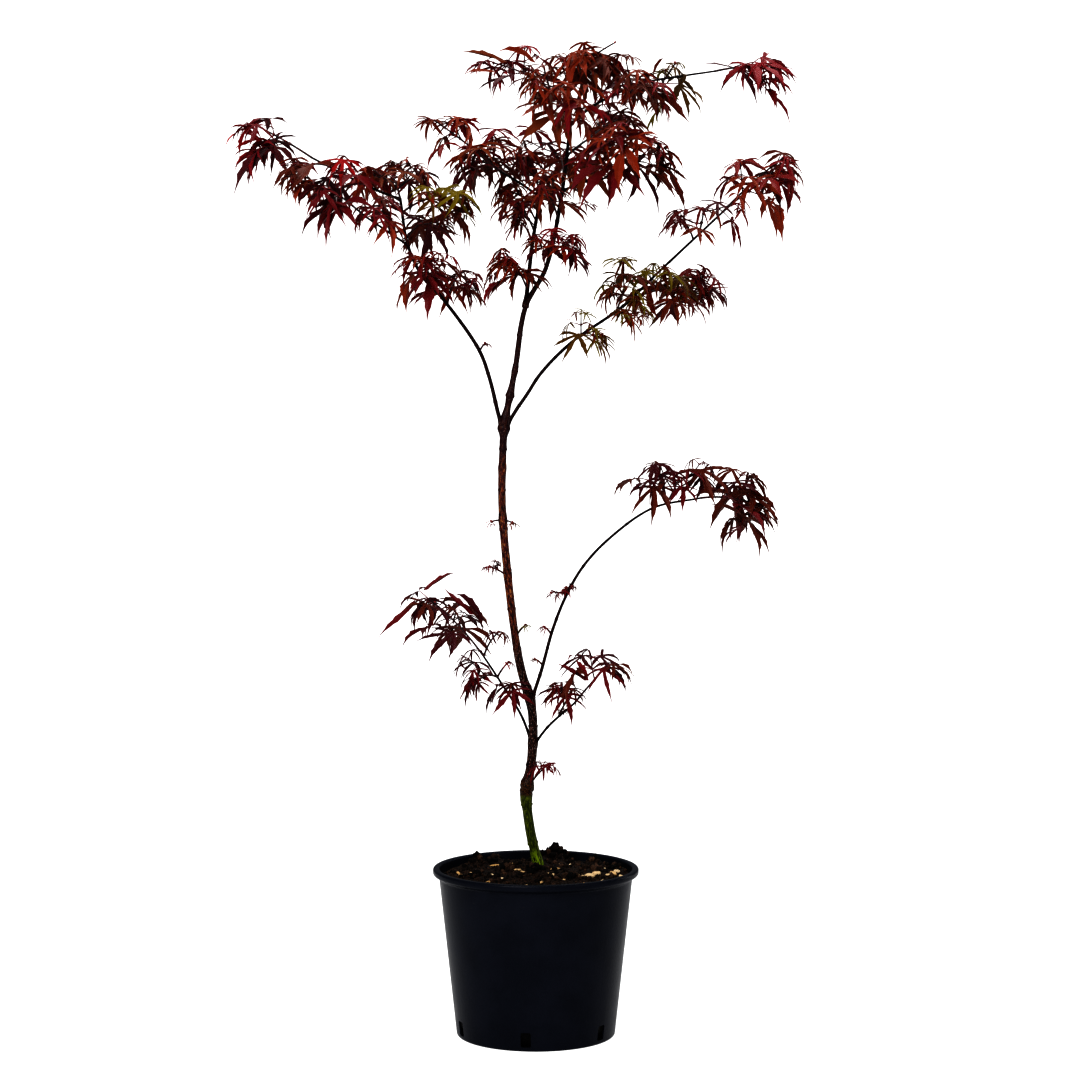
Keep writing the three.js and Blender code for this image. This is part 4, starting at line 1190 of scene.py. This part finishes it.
class Spray:
    """One mass of foliage: its stem, and the space that it keeps to."""

    TOWARDS_TIP = 0.65
    ALONG_LIMB = 0.45
    ALONG_LIMB_FROM_SIDE = 0.1
    RISE = 0.12
    SPACE_AT = 0.72
    SPACE_DROP = 0.3
    SPACE_RADIUS = 0.5

    def __init__(self, index, details):
        self.__dict__.update(details)
        self.index = index
        self.leaf = details["leaf"] * MM
        limb = limbs[self.limb]
        tip = np.array(self.tip, float) * MM
        foot, share = (limb.spots[-1], 1.0) if self.near is None else limb.nearest(np.array(self.near) * MM)
        reach = np.linalg.norm(tip - foot)
        along_limb = self.ALONG_LIMB if self.near is None else self.ALONG_LIMB_FROM_SIDE
        way = unit(tip - foot) * self.TOWARDS_TIP + limb.line.way(share) * along_limb + UP * self.RISE
        self.stem = bent(foot, foot + unit(way) * reach / 2, tip)
        self.reach = reach
        self.centre = foot + (tip - foot) * self.SPACE_AT - UP * self.SPACE_DROP * self.leaf
        self.radius = self.SPACE_RADIUS * self.leaf
        self.slot = 0

    def inside(self, places):
        """How far places lie inside the spray's own space, against the nearest neighbour."""
        others = np.array([other is not self and other.index < len(SPRAY_PLANS) for other in sprays])
        here = ((places - self.centre) ** 2).sum(-1) - self.radius**2
        there = ((places[:, None] - spray_centres[others]) ** 2).sum(-1) - spray_radii[others] ** 2
        apart = 2 * np.linalg.norm(spray_centres[others] - self.centre, axis=1)
        return ((there - here[:, None]) / apart).min()


sprays = [Spray(index, details) for index, details in enumerate(SPRAY_PLANS + SHOOT_PLANS)]
spray_centres = np.array([spray.centre for spray in sprays])
spray_radii = np.array([spray.radius for spray in sprays])
print("sprays:", len(sprays))

# %% [markdown]
# ## One leaf
#
# A leaf has five or seven narrow lobes that fan out from the end of its stalk, with a web between their
# feet. Each lobe is widest near its middle, is folded along its rib, arches over and ends in a long thin
# tip. Its edge goes out and in from row to row, which gives the teeth. Chance bends, twists and folds every
# lobe a little differently. There are thousands of lobes, so each is a few faces in its own outline, worked
# out as arrays. The leaf carries its own coordinates, along and across the lobe, for the veins.

# %% Describe a lobe
LOBE_TURN = math.radians(43)
LOBE_REACH = (1.1, 1.02, 0.84, 0.42)
LOBE_WIDTH = 0.086
NOTCH = 0.13
INWARD = 0.16
TOOTH = 0.24
ROWS = (7, 7, 5, 3)
FEWEST_ROWS = 4
SMALL_LEAF = 30 * MM
FIRST_ROW = 0.16
HOOK_FROM = 0.6
FAN = (0.9, 1.06)
FAN_SLIP = 0.05
LOBE_LENGTHS = (0.9, 1.05)
LOBE_HANG = (0.35, 1.35)
LOBE_CURL = 0.19
OUTWARD_CURL = 0.1
LOBE_HOOK = (0.2, 1.3)
LOBE_TWIST = 0.75
LOBE_FOLD = (0.25, 1.0)
LOBE_FULLNESS = (0.8, 1.3)


def lobe_width(share):
    """Half the width along a lobe: narrow at its foot, full before the middle, and a long tip."""
    return np.sin(math.pi * share**0.84) ** 1.8


def place_faces(rows):
    """The faces of one lobe, for points in rows of left edge, rib and right edge."""
    faces = []
    for row in range(rows):
        a = 3 * row
        faces += [(a, a + 1, a + 4, a + 3), (a + 1, a + 2, a + 5, a + 4)]
    a = 3 * rows
    return faces + [(a, a + 1, a + 3, -1), (a + 1, a + 2, a + 3, -1)]


shares = np.linspace(0, 1, 101)
print("a lobe is widest at", shares[lobe_width(shares).argmax()], "of its length")


# %% Bend the lobes into a leaf
def fall_line(form):
    """The way against which a leaf's lobes hang: half way between its normal and straight up."""
    return unit(0.5 * (form["normal"] + UP))


def lobe_lines(form, place, chance):
    """The left edge, rib and right edge of one lobe, and half its width, from foot to tip."""
    way, reach, rows, lean = place
    droop = form["droop"] * chance.uniform(*LOBE_HANG)
    share = np.linspace(FIRST_ROW, 1, rows + 2)[:, None]
    curl = (chance.normal(0, LOBE_CURL) + OUTWARD_CURL * lean) * reach
    across = unit(np.cross(fall_line(form), way))
    hook = np.maximum(share - HOOK_FROM, 0) ** 2 * chance.uniform(*LOBE_HOOK)
    rib = form["hub"] + way * reach * (share - INWARD * droop * share**2)
    sag = form["fall"] * droop * share**2 + hook
    rib = rib - fall_line(form) * reach * sag + across * curl * share**2
    run = unit(np.gradient(rib, axis=0))
    flat = unit(across - run * (run @ across)[:, None])
    lift = unit(np.cross(run, flat))
    twist = chance.normal(0, LOBE_TWIST) * share**1.2
    flat, lift = flat * np.cos(twist) + lift * np.sin(twist), lift * np.cos(twist) - flat * np.sin(twist)
    fold = chance.uniform(*LOBE_FOLD)
    half = LOBE_WIDTH * form["slim"] * chance.uniform(*LOBE_FULLNESS) * reach * lobe_width(share)
    teeth = np.where(np.arange(rows + 2)[:, None] % 2, 1 + TOOTH / 2, 1 - TOOTH / 2)
    half = half * teeth
    shift = lift * half * fold + run * half * np.where(teeth > 1, 0.5, 0.1)
    return rib - flat * half + shift, rib, rib + flat * half + shift, share[:, 0] * reach, half[:, 0]


def leaf_mesh(form, chance):
    """Points, faces and leaf coordinates of one leaf."""
    hub, forward, normal, size = (form[key] for key in ("hub", "forward", "normal", "size"))
    pairs = form["pairs"]
    side = unit(np.cross(normal, forward))
    points = [hub]
    faces = []
    marks = [(0, 0, 0)]
    spread = LOBE_TURN * chance.uniform(*FAN)
    count = 2 * pairs + 1
    turns = (np.arange(count + 1) - pairs - 0.5) * spread
    ways = forward * np.cos(turns)[:, None] + side * np.sin(turns)[:, None]
    notches = hub + ways * size * NOTCH - fall_line(form) * size * 0.1 * NOTCH * form["fall"]
    for k in range(count):
        order = abs(k - pairs)
        turn = (k - pairs) * spread + chance.normal(0, FAN_SLIP)
        way = forward * math.cos(turn) + side * math.sin(turn)
        reach = size * LOBE_REACH[order] * chance.uniform(*LOBE_LENGTHS)
        rows = ROWS[order] if size > SMALL_LEAF else max(FEWEST_ROWS, ROWS[order] - 3)
        place = (way, reach, rows, np.sign(k - pairs))
        left, rib, right, along, half = lobe_lines(form, place, chance)
        left[0], right[0] = notches[k], notches[k + 1]
        start = len(points)
        points += [*np.stack([left, rib, right], axis=1)[:-1].reshape(-1, 3), rib[-1]]
        edge = half / size
        length = along / size
        marks += [(x, y, k) for s, w in zip(length[:-1], edge[:-1]) for x, y in ((s, -w), (s, 0), (s, w))]
        marks += [(length[-1], 0, k)]
        faces += [(0, start + 1, start, -1), (0, start + 2, start + 1, -1)]
        faces += [tuple(c + start if c >= 0 else -1 for c in face) for face in place_faces(rows)]
    return np.array(points), np.array(faces), np.array(marks, float)


LEVEL_LEAF = {
    "hub": UP * 0,
    "forward": np.array([1.0, 0, 0]),
    "normal": UP,
    "size": 60 * MM,
    "droop": 1,
    "fall": 0.2,
    "slim": 1,
    "pairs": 3,
}
print("faces of a leaf with seven lobes:", len(leaf_mesh(LEVEL_LEAF, np.random.default_rng(0))[1]))


# %% Define one thin tube
def tube(line, girth, sides, rings):
    """Points and faces of a thin tube along a line, closed at both ends."""
    shares = np.linspace(0, 1, rings + 1)
    centres = line.at(shares)
    across, over = carried_frames(centres)
    turns = np.arange(sides) / sides * math.tau
    circle = across[:, None] * np.cos(turns)[:, None] + over[:, None] * np.sin(turns)[:, None]
    skin = centres[:, None] + circle * np.broadcast_to(girth(shares), shares.shape)[:, None, None]
    points = np.vstack([skin.reshape(-1, 3), centres[:1], centres[-1:]])
    near = np.arange(sides)
    after = (near + 1) % sides
    end = rings * sides
    pad = np.full(sides, -1)
    faces = []
    for row in range(0, end, sides):
        faces.append(np.stack([row + near, row + after, row + sides + after, row + sides + near], 1))
    faces.append(np.stack([after, near, np.full(sides, end + sides), pad], 1))
    faces.append(np.stack([end + near, end + after, np.full(sides, end + sides + 1), pad], 1))
    return points, np.vstack(faces)


print("faces of a stalk:", len(tube(test_line, lambda share: 0.1 - 0.05 * share, 5, 5)[1]))

# %% [markdown]
# ## Tints
#
# The leaves run from a very dark red through wine, crimson and rust to a few olive ones. The tints are
# dealt out by spray: each spray draws its leaves' colours from one family, older ones near its foot and
# younger ones near its tip. The dark family of the low sprays is painted shade as well, and the bright
# young crimson of the outer sprays a painted glow of light through the leaves as well. Each tint is one
# plain colour and one joined piece.

# %% Name the tints and their families
TINTS = {
    "dark": ("leaves_burgundy", "4a1119"),
    "burgundy": ("leaves_burgundy", "68171d"),
    "wine": ("leaves_burgundy", "7b1b22"),
    "rosewood": ("leaves_crimson", "782422"),
    "crimson": ("leaves_crimson", "860f1b"),
    "scarlet": ("leaves_crimson", "9a1a1d"),
    "umber": ("leaves_bronze", "5e2514"),
    "bronze": ("leaves_bronze", "6e3212"),
    "rust": ("leaves_bronze", "833216"),
    "olive": ("leaves_olive", "5c3f12"),
    "lime": ("leaves_olive", "796817"),
}
FAMILIES = {
    "burgundy": (("burgundy", "umber", "umber", "dark", "rust"), ("wine", "rosewood", "rust", "umber")),
    "wine": (("burgundy", "umber", "bronze", "rosewood", "dark"), ("rosewood", "wine", "rust")),
    # The crimson family's bright young tints, at the outer sprays' tips, are young growth and painted glow
    # of light through the thin leaves as well.
    "crimson": (("dark", "burgundy", "wine"), ("burgundy", "wine", "burgundy", "crimson", "scarlet")),
    # The dark family, for the low sprays, is their darker leaves and painted shade as well.
    "dark": (("dark", "burgundy", "umber", "umber", "dark"), ("burgundy", "umber", "dark")),
    "bronze": (("umber", "rust", "bronze", "wine"), ("rust", "rust", "rosewood", "bronze")),
    "lime": (("olive", "lime"), ("lime", "olive")),
    "olive": (("umber", "bronze", "rust", "olive"), ("olive", "lime", "bronze", "rust", "lime")),
}
foliage = {tint: Heap() for tint in TINTS}
stalks = Heap()
twigs = Heap()
buds = Heap()
print("tints:", len(TINTS), "families:", len(FAMILIES))

# %% [markdown]
# ## Growing the sprays
#
# A spray grows pairs of opposite leaves along its stem by the same rule and the same chance as its solid.
# A leaf that would leave the spray's space or touch a limb tries again with another turn, and after some
# attempts it is left out. Then finer shoots follow between the pairs, each with its own small leaves, and
# these may reach a little further out.

# %% Define how one leaf finds its room
ATTEMPTS = 7
FIRST_FINE_SLOT = 40
OVERSTEP = -5 * MM
FINE_OVERSTEP = -14 * MM
LIMB_MARGIN = 1.2 * MM
FIVE_BELOW = 60 * MM
STALK_STEPS = (5, 5)
LEAF_TURN = 0.25
MORE_TURN = 1.8
LEAF_LIFT = 0.2
LEAF_LENGTHS = (0.86, 1.1)
STALK_SHARE = 0.42
STALK_LENGTHS = (0.75, 1.25)
SHORTER_STALK = 0.12
LEAF_TILTS = (0.45, 1.1)
LEAF_LEAN = 0.35
LEAF_HANGS = (0.8, 1.15)
BOX_LOW = np.array(cad_box[0]) - 4 * MM
BOX_HIGH = np.array(cad_box[1]) + 4 * MM


def turned(vector, axis, angle):
    return np.array(Matrix.Rotation(angle, 3, Vector(axis))) @ vector


def has_room(spray, slot, points):
    """Whether a leaf stays in its spray's space, clear of the limbs and inside the solids' box."""
    room = OVERSTEP if slot < FIRST_FINE_SLOT else FINE_OVERSTEP
    if spray.index < len(SPRAY_PLANS) and spray.inside(points) < room:
        return False
    away = np.linalg.norm(points[:, None] - all_spots, axis=-1) - all_girths
    return away.min() > LIMB_MARGIN and (points >= BOX_LOW).all() and (points <= BOX_HIGH).all()


def leaf_form(spray, slot, attempt, place):
    """How one leaf stands: drawn from the spray's own chance. The second value is the leaf's own chance."""
    node, outward, size = place
    draw = seeded(1 + 8192 * spray.index + 16 * slot + attempt)

    def between(low, high):
        return low + (high - low) * next(draw)

    spin = between(-LEAF_TURN, LEAF_TURN) * (1 + MORE_TURN * attempt)
    lift = between(-LEAF_LIFT, LEAF_LIFT)
    length = size * between(*LEAF_LENGTHS)
    stalk = length * STALK_SHARE * between(*STALK_LENGTHS) * (1 - SHORTER_STALK * attempt)
    tilt = between(*LEAF_TILTS)
    lean = between(-LEAF_LEAN, LEAF_LEAN)
    droop = spray.hang * between(*LEAF_HANGS)
    way = turned(outward, UP, spin) + UP * lift
    way = unit(np.array([way[0], way[1], min(way[2], 0.4 * way[2])]))
    level = unit(np.array([way[0], way[1], 1e-9]))
    chance = np.random.default_rng([spray.index, slot, attempt])
    tilt *= chance.choice((1, 1, 1, 0.5))
    grown = min(1.0, max(0.0, (length / MM - 24) / 24))
    normal = turned(UP * math.cos(tilt) + level * math.sin(tilt), level, lean)
    form = {
        "hub": node + way * stalk,
        "forward": unit(level - normal * (level @ normal)),
        "normal": normal,
        "size": length,
        "droop": droop,
        "fall": chance.uniform(0.3, 0.48) - grown * chance.uniform(0.15, 0.35),
        "slim": 0.7 + 0.3 * grown,
        "pairs": 2 if length < FIVE_BELOW else 3,
        "stalk": stalk,
    }
    return form, chance


print("box for the leaves:", BOX_LOW.round(3), BOX_HIGH.round(3))


# %% Define the growth of leaves, buds and twigs
def grow_leaf(spray, place, tint):
    """One leaf on its stalk, or nothing where it finds no room."""
    slot = spray.slot
    spray.slot += 1
    for attempt in range(ATTEMPTS):
        form, chance = leaf_form(spray, slot, attempt, place)
        points, faces, marks = leaf_mesh(form, chance)
        if not has_room(spray, slot, points):
            continue
        foliage[tint].add(points, faces, marks)
        node, hub = place[0], form["hub"]
        bend = node + (hub - node) * 0.5 + UP * form["stalk"] * chance.uniform(0.05, 0.2)
        thick = (0.45 + 0.35 * form["size"] / (60 * MM)) * MM
        girth = lambda s: thick * (1 - 0.35 * s + 0.7 * np.exp(-s / 0.06))
        stalks.add(*tube(bent(node, bend, hub), girth, *STALK_STEPS))
        return


def ways_out(line, share, turn):
    """The two opposite ways in which a pair of leaves leaves its stem."""
    along = line.way(share)
    across = unit(np.cross(along, UP))
    over = unit(np.cross(across, along))
    out = across * math.cos(turn) + over * math.sin(turn)
    return [unit(0.8 * out + 0.5 * along), unit(-0.8 * out + 0.5 * along)]


def add_bud(node, way, size):
    """A pointed bud."""
    line = bent(node, node + way * size * 0.5, node + unit(way + 0.4 * UP) * size)
    buds.add(*tube(line, lambda s: size * 0.36 * np.sin(math.pi * (0.12 + 0.83 * s)) ** 0.8, 6, 5))


def add_twig(line, start, end, rings_at=()):
    """A thin twig with a ring at every node."""

    def girth(share):
        ring = sum(0.3 * np.exp(-(((share - at) * line.length / (1.1 * MM)) ** 2)) for at in rings_at)
        return (start + (end - start) * share) * (1 + ring)

    twigs.add(*tube(line, girth, 8, max(6, round(line.length / (2 * MM)))))


print("attempts for each leaf:", ATTEMPTS)

# %% Define the growth of a whole spray
STEM_GIRTH = (1.25 * MM, 0.8 * MM)
TWIG_GIRTH = (0.95 * MM, 0.75 * MM)
SHOOT_GIRTH = (0.85 * MM, 0.6 * MM)
ROOM_FOR_A_TWIG = 1 * MM
YOUNG_FROM = 0.72
PAIR_TURN = 1.1
LEAF_AT_FOOT = 1.2
SMALLER_BY_TIP = 0.65
LAST_LEAF = 0.42
TWIG_REACH = 0.55
TWIG_RISE = 5 * MM
SHOOT_REACH = (0.35, 0.6)
SHOOT_LEAF = (0.52, 0.74)
BUD_SIZE = 2.6 * MM
LAST_BUD_SIZE = 3.2 * MM


def tint_at(spray, share, chance):
    """A tint of the spray's family: its older ones near the foot, its younger ones near the tip."""
    old, young = FAMILIES[spray.tint]
    family = young if share + chance.uniform(-0.25, 0.25) > YOUNG_FROM else old
    return family[chance.integers(len(family))]


def grow_pairs(spray, chance):
    """The pairs of leaves that the solid has too. Gives back where they stand."""
    stations = []
    for k in range(spray.nodes):
        run = 1 if spray.nodes == 1 else k / (spray.nodes - 1)
        share = spray.first + (spray.last - spray.first) * run
        node = spray.stem.at(share)
        draw = seeded(77 + 512 * spray.index + k)
        turn = (k % 2) * PAIR_TURN + (next(draw) - 0.5) * 0.8
        size = spray.leaf * (LEAF_AT_FOOT - SMALLER_BY_TIP * share)
        stations.append(share)
        for outward in ways_out(spray.stem, share, turn):
            if k >= spray.twigs:
                grow_leaf(spray, (node, outward, size), tint_at(spray, share, chance))
                continue
            end = node + outward * TWIG_REACH * spray.leaf + UP * TWIG_RISE
            if spray.inside(end[None]) < ROOM_FOR_A_TWIG:
                continue
            twig = bent(node, (node + end) / 2, end)
            add_twig(twig, *TWIG_GIRTH)
            for way in ways_out(twig, 0.97, turn + 0.6):
                grow_leaf(spray, (end, way, 0.85 * size), tint_at(spray, 0.8, chance))
            grow_leaf(spray, (end, outward, 0.7 * size), tint_at(spray, 1, chance))
    if spray.last == 1:
        place = (spray.stem.at(1.0), spray.stem.way(1.0), LAST_LEAF * spray.leaf)
        grow_leaf(spray, place, tint_at(spray, 1, chance))
    return stations


def grow_shoot(spray, k, chance):
    """One finer shoot with two pairs and a small leaf at its tip. Gives back where it stands."""
    share = (0.25 + 0.7 * (k + chance.uniform(0.2, 0.8)) / spray.shoots) * spray.last
    node = spray.stem.at(share)
    outward = ways_out(spray.stem, share, chance.uniform(-0.5, 1.6))[k % 2]
    end = node + outward * spray.leaf * chance.uniform(*SHOOT_REACH)
    end = end + UP * spray.leaf * chance.uniform(0, 0.15)
    if spray.inside(end[None]) < ROOM_FOR_A_TWIG:
        end = (node + end) / 2
    shoot = bent(node, node + outward * np.linalg.norm(end - node) * 0.6, end)
    add_twig(shoot, *SHOOT_GIRTH, [0.55, 0.98])
    size = spray.leaf * chance.uniform(*SHOOT_LEAF)
    turn = chance.uniform(-0.5, 0.9)
    for at, part in ((0.5, 1), (1.0, 0.8)):
        for way in ways_out(shoot, at, turn + at):
            grow_leaf(spray, (shoot.at(at), way, size * part), tint_at(spray, at, chance))
    grow_leaf(spray, (shoot.at(1.0), shoot.way(1.0), size * 0.55), tint_at(spray, 1, chance))
    return share


def grow_spray(spray):
    """All of one spray: its pairs, finer shoots, stem and buds."""
    chance = np.random.default_rng(900 + spray.index)
    stations = grow_pairs(spray, chance)
    spray.slot = FIRST_FINE_SLOT
    stations += [grow_shoot(spray, k, chance) for k in range(spray.shoots)]
    add_twig(spray.stem, *STEM_GIRTH, stations)
    for share in stations:
        for outward in ways_out(spray.stem, share, chance.uniform(0, 1.2)):
            foot = spray.stem.at(share) + outward * 0.6 * MM
            add_bud(foot, unit(outward + spray.stem.way(share)), BUD_SIZE)
    add_bud(spray.stem.at(1.0), spray.stem.way(1.0), LAST_BUD_SIZE)


print("twig girths:", [round(girth / MM, 2) for girth in STEM_GIRTH + TWIG_GIRTH + SHOOT_GIRTH])

# %% [markdown]
# Here and there in the photo one long single blade stands out from a spray against the white. These few
# are listed, each with its foot and tip in millimetres and its tint. Each is a leaf with one lobe.

# %% Lay the single blades
BLADES = [
    ((56, -32, 384), (40, -40, 407), "wine"),
    ((56, -32, 384), (28, -38, 397), "burgundy"),
    ((-56, 42, 440), (-80, 30, 470), "dark"),
    ((-66, 44, 447), (-98, 36, 463), "burgundy"),
    ((0, 10, 1034), (-30, 4, 1056), "rust"),
    ((-30, 20, 1036), (-70, 10, 1044), "bronze"),
    ((124, 30, 1024), (133, 28, 1043), "umber"),
    ((138, -60, 914), (153, -66, 881), "umber"),
    ((-130, 50, 463), (-158, 44, 427), "burgundy"),
    ((-122, 46, 473), (-92, 40, 493), "burgundy"),
    ((-43, 20, 1026), (-69, 14, 1029), "rust"),
    ((-76, -60, 962), (-60, -64, 972), "rust"),
]
BLADE_FACING = np.array([-0.2, -1, 0.4])
for foot, tip, tint in BLADES:
    foot, tip = np.array([foot, tip]) * MM
    forward = unit(tip - foot)
    form = {
        "hub": foot,
        "forward": forward,
        "normal": unit(BLADE_FACING - forward * (BLADE_FACING @ forward)),
        "size": np.linalg.norm(tip - foot) * 1.25,
        "droop": 0.8,
        "fall": 0.1,
        "slim": 0.9,
        "pairs": 0,
    }
    foliage[tint].add(*leaf_mesh(form, np.random.default_rng(round(tip[0] / MM) + 500)))
print("single blades:", len(BLADES))

# %% Grow all the sprays
for spray in sprays:
    grow_spray(spray)
print("leaves and blades:", {tint: len(heap.points) for tint, heap in foliage.items()})

# %% [markdown]
# The leaves have a soft gloss, and their veins stand out a little: one rib along each lobe, with side veins
# that run forwards from it. The relief reads the leaf's own coordinates. Stalks and buds are red and twigs
# dark maroon, each in two close shades.

# %% Finish the leaves
VEINS = 150
VEIN_RELIEF = 0.7 * MM
for tint, (slot, card) in TINTS.items():
    finish = Finish("leaf_" + tint, specular_ior_level=0.22, base_color=tone(card), roughness=0.48)
    marks = finish.grain("leaf")
    along = finish.node("SeparateXYZ", {0: marks}, output=0)
    across = abs(finish.node("SeparateXYZ", {0: marks}, output=1))
    rib = across.step(0.0, 0.014)
    side_veins = ((along - 0.9 * across) * VEINS).sine().step(-0.2, 0.9)
    finish.use(height=rib + 0.35 * side_veins, depth=VEIN_RELIEF, strength=0.9)
    mesh = foliage[tint].mesh("foliage_" + tint, "leaf")
    solids = [spray.name for spray in sprays[: len(SPRAY_PLANS)] if spray.tint == tint]
    add_piece(mesh, finish.material, solids, sharp=24)


# %% Finish the stalks, twigs and buds
THIN_RELIEF = 0.2 * MM


def thin_finish(name, cards, blobs, full_at, roughness, gloss):
    """A finish for thin things: two close shades and a slight relief."""
    finish = Finish(name, roughness=roughness, specular_ior_level=gloss)
    shade = finish.cloud(finish.place(), *blobs)
    colour = finish.paint(tone(cards[0]), tone(cards[1]), shade.step(0.4, full_at))
    return finish.use(colour, None, shade, THIN_RELIEF)


stalk_red = thin_finish("stalk_red", ("47101a", "6d1518"), (90, 3), 0.6, 0.45, 0.4)
add_piece(stalks.mesh("leaf_stalks"), stalk_red)
twig_maroon = thin_finish("twig_maroon", ("1c0a0d", "3d1417"), (260, 3), 0.65, 0.5, 0.35)
add_piece(twigs.mesh("fine_twigs"), twig_maroon)
bud_red = thin_finish("bud_red", ("4d1416", "86251f"), (500, 2), 0.6, 0.4, 0.4)
add_piece(buds.mesh("twig_buds"), bud_red)

# %% [markdown]
